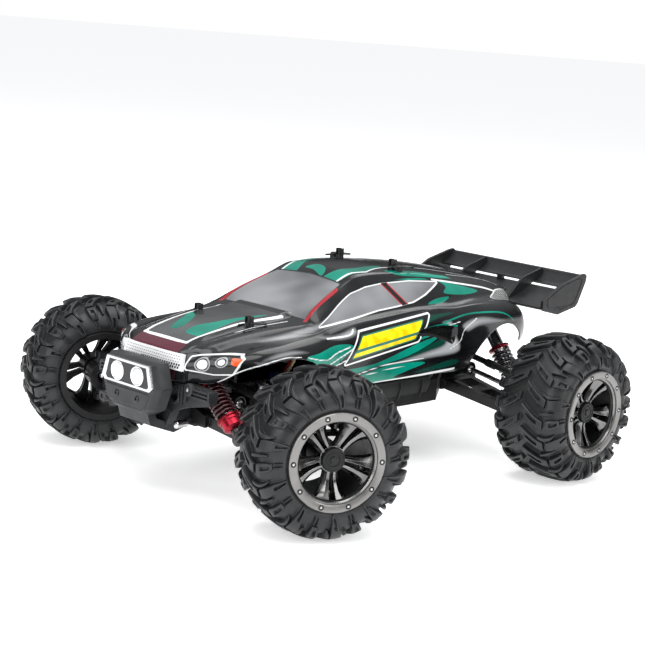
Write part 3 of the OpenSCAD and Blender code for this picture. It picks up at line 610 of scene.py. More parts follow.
# Across the body at one y: (x, z) of the sill, waist, shoulder, valley, roof or hood edge, then the crown's z
B, R = BODY_HALF, ROOF_Z
STATIONS = [
    (NOSE_Y, (24, 79), (28.5, 84), (29, 91), (26, 95), (22, 97), 98),
    (-152, (42, 79), (47, 86), (44, 96), (34, 99.5), (22, 101.5), 102.5),
    (-138, (53, 80), (58, 90), (52, 98.5), (37, 101.5), (24.5, 104.2), 105),
    (-122, (B - 7, 82), (B - 2, 92), (B - 14, 101.5), (39, 104), (27, 106.8), 107.6),
    (-100, (B - 6, 80), (B - 0.3, 93), (B - 13, 103.5), (43, 106.5), (33, 109.4), 110),
    (-72, (B - 7, 73), (B - 0.5, 92.5), (B - 12, 106), (49, 109.5), (41.5, 112), 112.6),
    (-66, (B - 7, 72), (B - 0.6, 93), (B - 12, 107), (51, 110.5), (42.8, 113), 113.6),
    (-58, (B - 7, 71), (B - 1, 93.5), (B - 12, 109), (50.5, 112.2), (40.8, 118.8), 118.9),
    (-28, (B - 6, 70), (B - 2, 94.5), (B - 12, 112.5), (50, 115.5), (34, R - 10.8), R - 10),
    (-8, (B - 6, 70), (B - 2, 96), (B - 11.5, 114), (50, 117), (33, R - 4), R - 1),
    (12, (B - 6, 70), (B - 2, 97), (B - 11, 115.5), (50.5, 118.5), (34, R - 3.3), R),
    (42, (B - 6, 70), (B - 2, 98), (B - 10, 117), (52, 120), (36, R - 4.6), R - 1.6),
    (66, (B - 5, 70), (B - 0.5, 97), (B - 8, 116), (52, 120.5), (38, R - 7.2), R - 3.4),
    (92, (B - 5, 73), (B - 0.2, 99), (B - 8.5, 117), (51, 120.5), (38.5, R - 10.5), R - 6.5),
    (120, (B - 6, 84), (B - 2.5, 102), (B - 12, 117), (47, 120), (37.5, R - 14.6), R - 11),
    (140, (B - 9, 84), (B - 6, 101), (B - 16, 114), (44, 118.5), (35.5, R - 18.8), R - 15.5),
    (149, (B - 12, 84), (B - 9, 100), (B - 20, 111), (42, 115.5), (34, R - 21.5), R - 19),
    (155, (B - 15, 83), (B - 13, 97), (B - 24, 106.5), (41, 110.5), (33, R - 28), R - 26),
    (158, (B - 18, 82), (B - 16.5, 93), (B - 27, 101), (40, 104), (32, R - 36), R - 35),
    (TAIL_Y, (B - 19.5, 82), (B - 18, 90), (B - 28, 96), (39, 98), (31, R - 43), R - 42.5),
]
FRONT_ARCH = [(-150, 81), (-143, 85.6), (-132, 91), (-118, 94), (-104, 95.6), (-92, 94.8), (-80, 91), (-68, 82),
              (-54, 69)]
REAR_ARCH = [(71, 69), (79, 71), (84, 78), (90, 87), (98, 94), (108, 99), (119, 101), (131, 99), (141, 93), (149, 85), (152, 80)]
# Steps between the control lines of a section, and how far each stretch bulges outwards
STRETCHES = [(22, 1.6), (22, 2.6), (8, -1.0), (20, 0.6), (42, 0.0)]


def column_places():
    """Where the shell's columns stand: 1 mm apart, and 0.4 mm apart near the tail."""
    fine = list(np.arange(NOSE_Y, -150, 1.0)) + list(np.arange(-150, 150, 1.0)) + list(np.arange(150, TAIL_Y, 0.4))
    return np.array(fine + [TAIL_Y])


def half_section(i, controls, floor):
    """Points up one side of column i, from the lower edge to the crown, with the stretch each lies on."""
    marks = [np.array((controls[2 * k][i], controls[2 * k + 1][i])) for k in range(5)]
    marks.append(np.array((0.0, controls[10][i])))
    points, share = [], []
    for k, (steps, bulge) in enumerate(STRETCHES):
        a, b = marks[k], marks[k + 1]
        across = b - a
        out = np.array((across[1], -across[0])) / (np.linalg.norm(across) + 1e-9)
        for s in range(steps):
            t = s / steps
            p = a + across * t + out * bulge * 4 * t * (1 - t)
            if k == 4:
                p[1] = b[1] + (a[1] - b[1]) * (1 - t) ** 2
            points.append(p)
            share.append(k + t)
    points.append(marks[-1])
    share.append(5.0)
    points = np.array(points)
    if points[0][1] < floor:
        first = int(np.argmax(points[:, 1] >= floor))
        low, high = points[first - 1], points[first]
        t = (floor - low[1]) / (high[1] - low[1])
        points[:first] = low + (high - low) * t
    return points, share


def shell_grid():
    """Arrays of x, y, z and section share over the whole shell, column by column."""
    ys = column_places()
    places = [s[0] for s in STATIONS]
    flat = [[v for pair in s[1:6] for v in pair] + [s[6]] for s in STATIONS]
    controls = [eased(places, [row[k] for row in flat], ys) for k in range(11)]
    front = np.interp(ys, *zip(*smooth_path(FRONT_ARCH, 4)), left=0, right=0)
    rear = np.interp(ys, *zip(*smooth_path(REAR_ARCH, 4)), left=0, right=0)
    rows = []
    for i, y in enumerate(ys):
        half, share = half_section(i, controls, max(front[i], rear[i]))
        row = [(x, y, z, s) for (x, z), s in zip(half, share)]
        rows.append(row + [(-x, yy, z, s) for x, yy, z, s in reversed(row[:-1])])
    grid = np.array(rows)
    nose = []
    for drop in np.linspace(1, 0, 9)[1:]:
        column = grid[0].copy()
        column[:, 2] = 79 + (column[:, 2] - 79) * drop
        column[:, 1] -= 1.6 * math.sin(math.pi * (1 - drop) * 0.5) * (1 - np.abs(column[:, 0]) / 90)
        nose.insert(0, column)
    return np.concatenate([np.array(nose), grid])


def reach_in(outline, a, b):
    """Distance from points (a, b) to a closed outline: positive inside, negative outside."""
    line = np.array(outline, float)
    best = np.full(a.shape, 1e9)
    odd = np.zeros(a.shape, bool)
    for p, q in zip(line, np.roll(line, -1, axis=0)):
        d = q - p
        t = np.clip(((a - p[0]) * d[0] + (b - p[1]) * d[1]) / (d @ d + 1e-12), 0, 1)
        best = np.minimum(best, np.hypot(a - p[0] - t * d[0], b - p[1] - t * d[1]))
        crosses = (p[1] > b) != (q[1] > b)
        odd ^= crosses & (a < p[0] + (b - p[1]) * d[0] / (d[1] if abs(d[1]) > 1e-9 else 1e-9))
    return np.where(odd, best, -best)


def near_line(line, a, b, width):
    """Half width minus distance to an open line."""
    pts = np.array(smooth_path(line, 5), float)
    best = np.full(a.shape, 1e9)
    for p, q in zip(pts, pts[1:]):
        d = q - p
        t = np.clip(((a - p[0]) * d[0] + (b - p[1]) * d[1]) / (d @ d + 1e-12), 0, 1)
        best = np.minimum(best, np.hypot(a - p[0] - t * d[0], b - p[1] - t * d[1]))
    return width - best


# The paint scheme in millimetres: side shapes are (y, z), top shapes (|x|, y)
WINDOW = [(-62, 110.5), (-50, 115.5), (-37, 121.5), (-22, 128), (-8, 131.3), (9, 133), (36, 133.4), (64, 131.5),
          (46, 125), (31, 121), (14, 119), (-4, 117.5), (-30, 114)]
WINDSCREEN = [(0, -64), (39.5, -64), (38, -58), (32.5, -29), (31, -24), (0, -22)]
# A plain four-sided panel on the door, (y, z) from its lower front corner round to its upper front one
SIDE_PANEL = [(-50, 87), (22, 96.8), (36, 113.5), (-34, 106.5)]


def on_panel(u, s):
    """The point a share u along the side panel and a share s up it."""
    low, high = (np.array(SIDE_PANEL[a]) * (1 - u) + np.array(SIDE_PANEL[b]) * u for a, b in ((0, 1), (3, 2)))
    return low * (1 - s) + high * s


# A narrow stripe below a wide one, both lengthwise and equally long: (share up the panel, share of its height)
STRIPE_START, STRIPE_END = 0.06, 0.92
PANEL_STRIPES = [[on_panel(STRIPE_START, s), on_panel(STRIPE_END, s),
                  on_panel(STRIPE_END, s + height), on_panel(STRIPE_START, s + height)]
                 for s, height in ((0.15, 0.15), (0.42, 0.42))]

SIDE_TEAL = [
    [(-88, 94.5), (-75, 97), (-60, 100.5), (-46, 100), (-42, 97), (-52, 92), (-64, 84.5), (-72, 84)],
    [(-62, 82.5), (-21, 84.6), (23, 95.2), (44, 97.5), (14, 87.2), (-25, 81.5), (-50, 78)],
    [(-42, 76), (-22, 79.5), (0, 82), (33, 80.5), (16, 76), (-14, 69.8), (-46, 69.8)],
    [(30, 104.5), (48, 106.5), (60, 104.5), (52, 101.5), (34, 101)],
    [(12, 135.2), (46, 135), (72, 131), (106, 123.6), (88, 122.2), (66, 124.4), (71, 128.4), (62, 132.6), (36, 134.2)],
    [(-46, 71), (-20, 70.2), (6, 70.8), (-4, 73.2), (-30, 74.4)],
    [(44, 118.5), (55, 121.5), (70, 122), (60, 118.8)],
]
SIDE_DARK_GREEN = [
    [(-24, 80.5), (10, 85.8), (36, 93.5), (58, 97), (60, 92), (34, 83), (0, 78)],
    [(20, 110), (30, 112.6), (62, 113.2), (44, 110.4), (28, 107.5)],
    [(40, 76.5), (62, 80), (68, 76.5), (48, 73.6), (22, 73)],
]
# Painted highlights on the glossy black: soft pale streaks where it takes the light, (y, z)
SIDE_HIGHLIGHTS = [
    [(-71, 105.5), (-52, 107), (-36, 110), (-38, 105), (-53, 103)],
    [(-10, 81.5), (31, 88.5), (49, 92), (53, 100), (47, 107.5), (57, 108), (62, 97), (67, 90), (62, 84), (24, 82.5)],
    [(67, 104.5), (80, 108.4), (96, 108.4), (121, 103.4), (104, 102.6), (86, 102.2), (73, 99)],
    [(-125, 95.5), (-112, 99.5), (-96, 100.5), (-84, 98), (-100, 97.2)],
    [(-112, 103.5), (-84, 108.5), (-62, 112.6), (-50, 115.6), (-60, 109.5), (-84, 104.5)],
]
INTAKE = [(24, 104), (40, 106), (58, 105), (62, 101), (60, 91), (50, 94), (36, 98), (22, 99.5)]
SIDE_LINES = [
    ([(-150, 81.6), (-143, 86.4), (-132, 91.8), (-118, 95), (-104, 96.6), (-92, 95.8)], 0.35),
    ([(-16, 69.9), (28, 70.6), (66, 72.4)], 0.9),
    ([(-60, 87), (-44, 91), (-30, 93)], 0.5),
    ([(49, 107), (61, 109.5), (80, 111.5), (107, 110.5), (121, 107.5), (131, 102)], 0.55),
    ([(22, 97.6), (40, 100.2), (62, 104.5)], 0.7),
    ([(18, 99.4), (40, 102.6), (66, 107)], 0.35),
    ([(-46, 75), (-14, 78.5), (20, 80.5)], 0.4),
    ([(60, 133.4), (76, 131), (113, 125), (131, 120.6), (146, 118.2)], 0.55),
    ([(-44, 77), (-10, 82.6), (30, 83.4)], 0.45),
    ([(-86, 95), (-70, 92), (-60, 95.5), (-46, 98.4)], 0.45),
    ([(-66, 88.5), (-52, 93.8), (-43, 97)], 0.45),
    ([(-64, 104.6), (-44, 105.6), (-38, 108.6)], 0.45),
    ([(56, 88), (66, 93), (70, 101), (84, 108)], 0.4),
]
SIDE_GREEN_LINES = [3, 4]
TOP_TEAL = [
    [(13.5, -24), (27, -23), (29, -8), (29.5, 4), (23, 24), (19, 26), (20, 2), (17, -10)],
    [(30, 22), (36, 26), (41, 62), (43, 90), (37, 72), (32, 44)],
]
# The hood's flashes and the roof's centre patch are not mirrored: (x, y)
LONE_TEAL = [
    [(-9, -139), (-17, -124), (-23, -109), (-15, -113), (-9, -121), (-3, -136)],
    [(7, -140), (3, -128), (8, -116), (14, -88), (19, -79), (17, -100), (19, -121), (21, -138)],
    [(-10, -17), (-1, -18), (11, -22), (7, -14), (-3, -11)],
]
HOOD = [(-20, -151), (20, -151), (22.5, -120), (25, -72), (-25, -72), (-22.5, -120)]
BLUSH = [(-24, -162), (24, -162), (22, -152), (-22, -152)]
TOP_LINES = [
    ([(20.3, -151.5), (22.5, -126), (23.6, -100), (25.6, -72)], 1.15),
    ([(0, -152.2), (12, -152), (20.5, -151)], 1.5),
    ([(28.5, -156), (30, -134), (29.5, -100), (33, -74)], 0.55),
    ([(36, -153), (41, -130), (40, -101), (46, -68)], 0.4),
    ([(29.5, 3), (27.5, -8), (26.8, -22.5)], 0.9),
    ([(29.5, 3), (24, 24), (22, 60), (30, 112), (36, 142)], 0.6),
    ([(34, 84), (33, 126), (27, 146)], 0.5),
]
TOP_PATCH = [(38, 149), (46, 147.5), (51, 143.5), (54.5, 122), (50, 117), (43, 131)]
HEADLAMP = [(29.5, 87.5), (31, 95.2), (36, 96.8), (46, 98.2), (54.5, 98.9), (57.6, 96.8), (57.4, 92.5), (55.5, 87.6),
            (46, 86.4)]


def shell_layers(grid):
    """Distance fields over the shell, in millimetres, that the paint reads."""
    x, y, z, share = (grid[:, :, k] for k in range(4))
    ax = np.abs(x)
    far = np.full(x.shape, -50.0)
    side = share < 4.0
    top = share >= 3.9
    nose = y < -126

    def on(mask, field):
        return np.where(mask, field, far)

    def union(fields):
        best = far
        for field in fields:
            best = np.maximum(best, field)
        return best

    def curved(outline):
        return smooth_path(outline, 4, closed=True)

    window = on(side & (y > -70) & (y < 70), reach_in(WINDOW, y, z))
    screen = on(top & (y < 0), reach_in(WINDSCREEN + [(-a, b) for a, b in reversed(WINDSCREEN[1:-1])], x, y))
    lines = [on(side, near_line(path, y, z, width)) for path, width in SIDE_LINES]
    top_lines = [on(top, near_line(path, ax, y, width)) for path, width in TOP_LINES]
    white = union([line for i, line in enumerate(lines) if i not in SIDE_GREEN_LINES] + top_lines)
    green = union([lines[i] for i in SIDE_GREEN_LINES])
    lamp = on(nose & side, reach_in(HEADLAMP, ax, z))
    bulbs = union([on(nose, r - np.hypot(ax - cx, z - cz)) for cx, cz, r in ((39.0, 91.6, 4.6), (49.3, 94.3, 3.3))])
    amber = on(nose & side, reach_in([(53.6, 97.6), (58, 96.8), (57.4, 92.6), (54.6, 93.6)], ax, z))
    return {
        "window": window, "screen": screen, "white": white, "lamp": lamp, "bulbs": bulbs, "amber": amber,
        "blush": on(top & nose, reach_in(BLUSH, x, y)),
        "red": on(side | top, near_line([(41.6, -66), (34.2, -31)], ax, y, 1.5)),
        "teal": union([on(side, reach_in(curved(s), y, z)) for s in SIDE_TEAL]
                      + [on(top, reach_in(curved(s), x, y)) for s in LONE_TEAL]
                      + [on(top, reach_in(curved(s), ax, y)) for s in TOP_TEAL] + [green]),
        "deep": union([on(side, reach_in(curved(s), y, z)) for s in SIDE_DARK_GREEN]),
        # painted highlight streaks
        "silver": union([on(side, reach_in(curved(s), y, z)) for s in SIDE_HIGHLIGHTS]),
        "panel": on(side, reach_in(SIDE_PANEL, y, z)),
        "bars": union([on(side, reach_in(bar, y, z)) for bar in PANEL_STRIPES]),
        "intake": on(side, reach_in(curved(INTAKE), y, z)),
        "hood": on(top & (y < -60), reach_in(HOOD, x, y)),
        "patch": on((share > 2.0) & (share < 4.0), reach_in(TOP_PATCH, ax, y)),
        "stripes": on(share > 2.0, 0.55 - np.abs((y - 0.8 * ax) % 3.6 - 1.8)),
        "pillar": on(side, near_line([(11, 134), (24, 118)], y, z, 2.6)),
        "share": share,
    }


def shell_mesh():
    """The painted body as a mesh object, with its distance fields stored on the points."""
    grid = shell_grid()
    layers = shell_layers(grid)
    x, y, z, share = (grid[:, :, k].copy() for k in range(4))
    side = np.sign(x) + (x == 0)
    # recess the windows, the intake, the windscreen and the hood panel a little; raise the middle of the hood
    def step(field, wide):
        return np.clip(field / wide + 0.5, 0, 1)
    sink = 0.7 * step(layers["window"], 1.2) + 2.2 * step(layers["intake"] - 1.2, 3.0)
    x -= side * sink
    rise = np.interp(y, [-154, -142, -110, -66, -60], [0, 1.4, 3.1, 3.1, 0])
    z += rise * (0.5 - 0.5 * np.cos(math.pi * np.clip((29 - np.abs(grid[:, :, 0])) / 7, 0, 1)))
    y += 3.0 * (x / 30) ** 2 * np.clip((-141 - y) / 20, 0, 1)
    z -= 0.5 * step(layers["screen"], 1.4) + 0.7 * step(layers["hood"] - 1.0, 1.6)
    for path, wide, deep in SEAMS:
        field = np.where(share < 4.0, near_line(path, grid[:, :, 1], grid[:, :, 2], wide), -9)
        x -= side * deep * np.clip(field / wide, 0, 1)
    for path, wide, deep in TOP_SEAMS:
        field = np.where((share > 2.3), near_line(path, np.abs(grid[:, :, 0]), grid[:, :, 1], wide), -9)
        z -= deep * np.clip(field / wide, 0, 1)
    y = y + MID_Y
    verts = np.stack([x, y, z], axis=-1).reshape(-1, 3) * MM
    rows, width = x.shape
    index = np.arange(rows * width).reshape(rows, width)
    quads = np.stack([index[:-1, :-1], index[:-1, 1:], index[1:, 1:], index[1:, :-1]], axis=-1).reshape(-1, 4)
    mesh = bpy.data.meshes.new("shell_painted")
    mesh.from_pydata(verts.tolist(), [], quads.tolist())
    for name, field in layers.items():
        store = mesh.attributes.new(name, "FLOAT", "POINT")
        store.data.foreach_set("value", field.reshape(-1).astype(np.float32))
    bm = bmesh.new()
    bm.from_mesh(mesh)
    bmesh.ops.remove_doubles(bm, verts=bm.verts, dist=1e-5)
    bmesh.ops.dissolve_degenerate(bm, edges=bm.edges, dist=1e-6)
    bmesh.ops.recalc_face_normals(bm, faces=bm.faces)
    bm.to_mesh(mesh)
    bm.free()
    mesh.shade_smooth()
    return mesh


# Grooves in the sides (y, z) and on top (|x|, y): path, half width and depth
SEAMS = [
    ([(-69, 101), (-54, 106), (-28, 109), (10, 113.5), (49, 118), (73, 122)], 1.3, 0.55),
    ([(-58, 106), (-56, 92), (-48, 84), (-44, 72)], 0.7, 0.5),
    ([(50, 118), (46, 108), (44, 100)], 0.7, 0.4),
]
TOP_SEAMS = [
    ([(28.5, -154), (31, -128), (33, -100), (37, -72)], 1.1, 0.5),
    ([(30, -40), (33, 0), (35.5, 50), (36.5, 110)], 1.0, 0.35),
]


def paint():
    """The shell's paint: layers laid over each other by the distance fields."""
    n = Nodes("shell_paint_job")

    def field(name):
        node = n.tree.nodes.new("ShaderNodeAttribute")
        node.attribute_name = name
        return node.outputs["Fac"]

    def inside(name, soft=0.12, edge=0.0):
        return n.ramp(field(name), edge - soft, edge + soft)

    def band(name, low, high):
        return n.math("MULTIPLY", inside(name, edge=low), n.math("SUBTRACT", 1.0, inside(name, edge=high)))

    gleam = n.ramp(n.noise(14, 2), 0.42, 0.7)
    colour = n.mix(gleam, (0.003, 0.0033, 0.0038), (0.012, 0.013, 0.0145))
    colour = n.mix(inside("deep", soft=0.5), colour, (0.002, 0.04, 0.028))
    # painted highlight streaks on the black paint, paler towards their middles
    silver = n.mix(n.ramp(field("silver"), -0.4, 3.2), (0.06, 0.063, 0.066), (0.34, 0.35, 0.36))
    colour = n.mix(n.ramp(field("silver"), -0.5, 1.3), colour, silver)
    teal = n.mix(n.ramp(n.noise(30, 2), 0.3, 0.7), (0.0, 0.12, 0.085), (0.0, 0.26, 0.18))
    colour = n.mix(inside("teal"), colour, teal)
    colour = n.mix(inside("white"), colour, (0.72, 0.74, 0.74))
    # the side panel: white border, black ground, yellow stripes with a green edge
    colour = n.mix(inside("panel", edge=-1.3), colour, (0.78, 0.79, 0.78))
    colour = n.mix(inside("panel", edge=-0.2), colour, (0.008, 0.009, 0.009))
    yellow = n.mix(n.ramp(n.noise(120, 1), 0.4, 0.62), (0.75, 0.5, 0.0), (0.95, 0.78, 0.01))
    bars = n.math("MULTIPLY", inside("bars"), inside("panel", edge=1.1))
    rim = n.math("MULTIPLY", inside("bars", edge=-0.9), inside("panel", edge=0.7))
    colour = n.mix(rim, colour, (0.02, 0.16, 0.1))
    colour = n.mix(bars, colour, yellow)
    # the intake, dark
    colour = n.mix(inside("intake", edge=0.6), colour, (0.004, 0.0042, 0.0045))
    # hood panel: smoky, with a broad pale frame
    hood = n.mix(n.ramp(n.noise(22, 2), 0.35, 0.75), (0.035, 0.037, 0.039), (0.1, 0.104, 0.108))
    panel = n.math("MULTIPLY", inside("hood", edge=0.3), n.math("SUBTRACT", 1.0, inside("teal")))
    panel = n.math("MULTIPLY", panel, n.math("SUBTRACT", 1.0, inside("white")))
    colour = n.mix(panel, colour, hood)
    # glass
    glass = n.mix(n.ramp(n.noise(18, 2), 0.35, 0.7), (0.07, 0.073, 0.078), (0.26, 0.265, 0.275))
    pane = n.math("MAXIMUM", inside("window"), inside("screen"))
    colour = n.mix(pane, colour, glass)
    colour = n.mix(band("window", -0.75, 0.0), colour, (0.7, 0.72, 0.72))
    colour = n.mix(band("screen", -0.8, 0.1), colour, (0.02, 0.022, 0.024))
    bar = n.math("MULTIPLY", inside("pillar"), inside("window", edge=-0.7))
    colour = n.mix(bar, colour, (0.008, 0.009, 0.01))
    accent = n.math("MULTIPLY", band("pillar", 0.0, 0.9), inside("window", edge=-0.3))
    colour = n.mix(accent, colour, (0.35, 0.02, 0.02))
    colour = n.mix(inside("red"), colour, (0.3, 0.012, 0.02))
    blush = n.math("MULTIPLY", inside("blush", soft=0.8), n.math("SUBTRACT", 1.0, inside("white")))
    colour = n.mix(blush, colour, (0.085, 0.018, 0.03))
    # headlamps
    colour = n.mix(inside("lamp", edge=-0.8), colour, (0.75, 0.76, 0.76))
    colour = n.mix(inside("lamp", edge=0.0), colour, (0.006, 0.0065, 0.007))
    colour = n.mix(inside("bulbs", edge=0.0), colour, (0.3, 0.31, 0.32))
    colour = n.mix(inside("bulbs", edge=0.7), colour, (0.03, 0.03, 0.032))
    colour = n.mix(inside("bulbs", edge=1.5), colour, (0.8, 0.82, 0.84))
    colour = n.mix(inside("amber", edge=0.0), colour, (0.85, 0.09, 0.02))
    colour = n.mix(inside("patch", edge=0.2), colour, (0.13, 0.13, 0.13))
    colour = n.mix(n.math("MULTIPLY", inside("patch", edge=0.9), inside("stripes")), colour, (0.5, 0.5, 0.48))
    colour = n.mix(band("patch", 0.0, 0.7), colour, (0.7, 0.71, 0.7))
    n.set(Base_Color=colour, Roughness=n.ramp(n.noise(60, 3), 0.3, 0.7, 0.14, 0.24), Coat_Weight=0.2,
          Coat_Roughness=0.05)
    n.put(n.shader, "Specular IOR Level", 0.3)
    n.set(Normal=n.bump(n.noise(90, 3), 0.05 * MM))
    return n.material


def shell():
    mesh = shell_mesh()
    mesh.materials.append(paint())
    mesh.materials.append(BLACK)
    thing = bpy.data.objects.new("shell_painted", mesh)
    bpy.context.scene.collection.objects.link(thing)
    solid = thing.modifiers.new("thickness", "SOLIDIFY")
    solid.thickness, solid.offset, solid.material_offset = 1.2 * MM, -1, 1
    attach(thing, "shell")
    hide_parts("body_shell")


def grille():
    """The pale band across the nose and its rows of small dark slots."""
    def front(x, z, proud):
        return Vector((x, NOSE_Y + MID_Y - proud - 1.4 + 3.0 * (x / 30) ** 2 + 0.12 * max(0, z - 90), z))

    band = []
    for proud in (0.9, -1.0):
        for z0, z1 in ((86.3, 97.0),):
            rows = [[front(x, z0 + (z1 - z0) * t - 0.018 * abs(x), proud) for t in (0, 0.33, 0.66, 1)]
                    for x in np.linspace(-29, 29, 25)]
            band.append(sheet(rows))
    count = len(band[0].verts)
    shape = Shape().add(*band)
    edge = [i * 4 for i in range(25)] + [24 * 4 + k for k in (1, 2, 3)]
    edge += [i * 4 + 3 for i in range(23, -1, -1)] + [2, 1]
    for a, b in zip(edge, edge[1:] + edge[:1]):
        shape.faces.append((a, b, b + count, a + count))
    piece("grille_band", shape, PALE_TRIM, "shell")
    slots = Shape()
    for row, z in enumerate(np.linspace(88.2, 95.4, 5)):
        for i in range(27):
            x = -26.5 + i * 2.0 + (row % 2) * 1.0
            if abs(x) > 27:
                continue
            tall = 0.72 if row < 2 and x > -8 else 0.2
            wide = 0.72 if row < 2 and x > -8 else 0.5
            corners = [(x - wide, z - tall), (x + wide * 0.7, z - tall), (x + wide, z + tall), (x - wide * 0.7, z + tall)]
            outer = [front(u, v - 0.018 * abs(u), 1.02) for u, v in corners]
            inner = [front(u, v - 0.018 * abs(u), 0.5) for u, v in corners]
            slots.add(sheet([inner, outer], wrap_points=True)).add(Shape(outer, [(0, 1, 2, 3)]))
    piece("grille_slots", slots, BLACK, "shell")


shell()
grille()


# ---- nose, wing and chassis details ----

def here(shape):
    """Moves a shape given from midway between the axles into the frame."""
    return shape.shifted(y=MID_Y)


def shrunk(outline, share, towards=None):
    cx, cz = towards or (sum(p[0] for p in outline) / len(outline), sum(p[1] for p in outline) / len(outline))
    return [(cx + (u - cx) * share, cz + (v - cz) * share) for u, v in outline]


def loop_ring(sections):
    """Joins closed loops of points in order; the first and last stay open."""
    return sheet(sections, wrap_points=True)


def capped(sections):
    shape = sheet(sections, wrap_points=True)
    count, last = len(sections[0]), len(shape.verts) - len(sections[0])
    shape.faces += [tuple(range(count)), tuple(range(last + count - 1, last - 1, -1))]
    return shape


LAMP_FRONT = low_mm("headlamp_unit").y - MID_Y


def lamp_unit():
    y = LAMP_FRONT + 1.6

    def loop(points, depth):
        return [Vector((u, y + depth, v)) for u, v in points]

    face = [(-14, 58.6), (14, 58.6), (20.5, 62.4), (25.4, 75.2), (20.8, 89.2), (-20.8, 89.2), (-25.4, 75.2), (-20.5, 62.4)]
    back = shrunk(face, 1.14, (0, 76))
    mouth = [(-19.5, 73.6), (-7, 73.2), (7, 73.2), (19.5, 73.6), (23.4, 76), (19.6, 87.8), (-19.6, 87.8), (-23.4, 76)]
    face_loop = [(-14, 58.6), (0, 58.4), (14, 58.6), (20.5, 62.4), (25.4, 75.2), (20.8, 89.2), (-20.8, 89.2),
                 (-25.4, 75.2), (-20.5, 62.4)]
    outer = capped([loop(back, 13.4), loop(shrunk(face, 1.13, (0, 76)), 5.0), loop(face, 0.9)])
    piece("lamp_housing", here(outer), BUMPER_GREY, "chassis", ["headlamp_unit"], bevel=0.5)
    frame_out = [(-22.4, 73), (22.4, 73), (25.2, 75.6), (20.9, 89.4), (-20.9, 89.4), (-25.2, 75.6)]
    frame_in = [(-20, 74.6), (20, 74.6), (21.6, 76), (18.5, 87.7), (-18.5, 87.7), (-21.6, 76)]
    bezel = sheet([loop(frame_out, 1.2), loop(frame_out, -0.2), loop(shrunk(frame_out, 0.985), -0.6),
                   loop(frame_in, -0.6), loop(shrunk(frame_in, 0.97), 0.3)], wrap_points=True)
    piece("lamp_bezel", here(bezel), SILVER_METAL, "chassis", angle=25)
    bowl = capped([loop(shrunk(frame_in, 0.99), -0.35), loop(shrunk(frame_in, 0.9), 0.35)])
    piece("lamp_bowl", here(bowl), SHOCK_BLACK, "chassis", angle=25)
    for side in (LEFT, RIGHT):
        lens = lathe([(-0.6, 6.3), (0.9, 6.3), (1.1, 5.9), (0.6, 5.3), (1.1, 4.6), (1.7, 3.0), (1.9, 0)], 32, closed=False)
        at = facing((side * 9.8, y + 0.35, 81), (0, -1, 0))
        piece(f"lamp_lens_{'l' if side > 0 else 'r'}", here(lens.moved(at)), LENS, "chassis")
    lower = Shape()
    lower.add(capped([loop([(-17.6, 60.2), (17.6, 60.2), (21.8, 71.6), (-21.8, 71.6)], 1.2),
                      loop([(-17, 61), (17, 61), (20.8, 70.8), (-20.8, 70.8)], 0.3)]))
    piece("lamp_lower_panel", here(lower), BUMPER_GREY, "chassis", bevel=0.2)
    bolts = Shape()
    for x in (-10, 10):
        bolts.add(screw((x, y + 0.5, 66.2), (0, -1, 0), 2.1, 1.2))
    piece("lamp_bolts", here(bolts), BLACK_STEEL, "chassis")


def bumper_details():
    y = low_mm("front_bumper").y - MID_Y
    plate = -158
    ribs, bright = Shape(), Shape()
    for z in (71.4, 73.8, 76.2):
        ribs.add(box((33, plate - 1.6, z - 0.55), (54, plate + 0.5, z + 0.55)))
    ribs.add(box((31.5, plate - 1.9, 67), (33.5, plate + 0.5, 77.6)), box((53, plate - 1.6, 70), (54.6, plate + 0.5, 77)))
    ribs.add(box((27.6, plate - 1.3, 63.5), (29.2, plate + 0.5, 76.5)), box((24.8, plate - 1.0, 64.8), (26, plate + 0.5, 75.8)))
    ring = lathe([(-0.5, 4.6), (-0.5, 6.3), (1.2, 6.1), (1.2, 4.8)], 32)
    ribs.add(ring.moved(facing((20, plate, 69), (0, -1, 0))))
    ribs.add(lathe([(0, 0), (3.2, 0), (3.2, 3.4), (2.6, 4), (0, 4)], 24).moved(facing((36, plate, 75.6), (0, -1, 0))))
    ribs.add(prism([(3, 50), (15, 46.5), (19.4, 57), (14, 62), (10, 61.4)], plate - 1.2, plate + 1, "y"))
    piece("bumper_ribs", here(ribs.both_sides()), BUMPER_GREY, "chassis", bevel=0.25)
    bright.add(lathe([(3, 1.3), (3.7, 1.2), (3.9, 0.5), (3.9, 0)], 16, closed=False).moved(facing((36, plate, 75.6), (0, -1, 0))))
    bright.add(lathe([(0, 0), (9, 0), (9, 1.8), (8.4, 2.6), (0, 2.6)], 20).moved(facing((24, -150, 50), (0, -1, 0))))
    piece("hinge_pin_ends", here(bright.both_sides()), STEEL, "chassis")


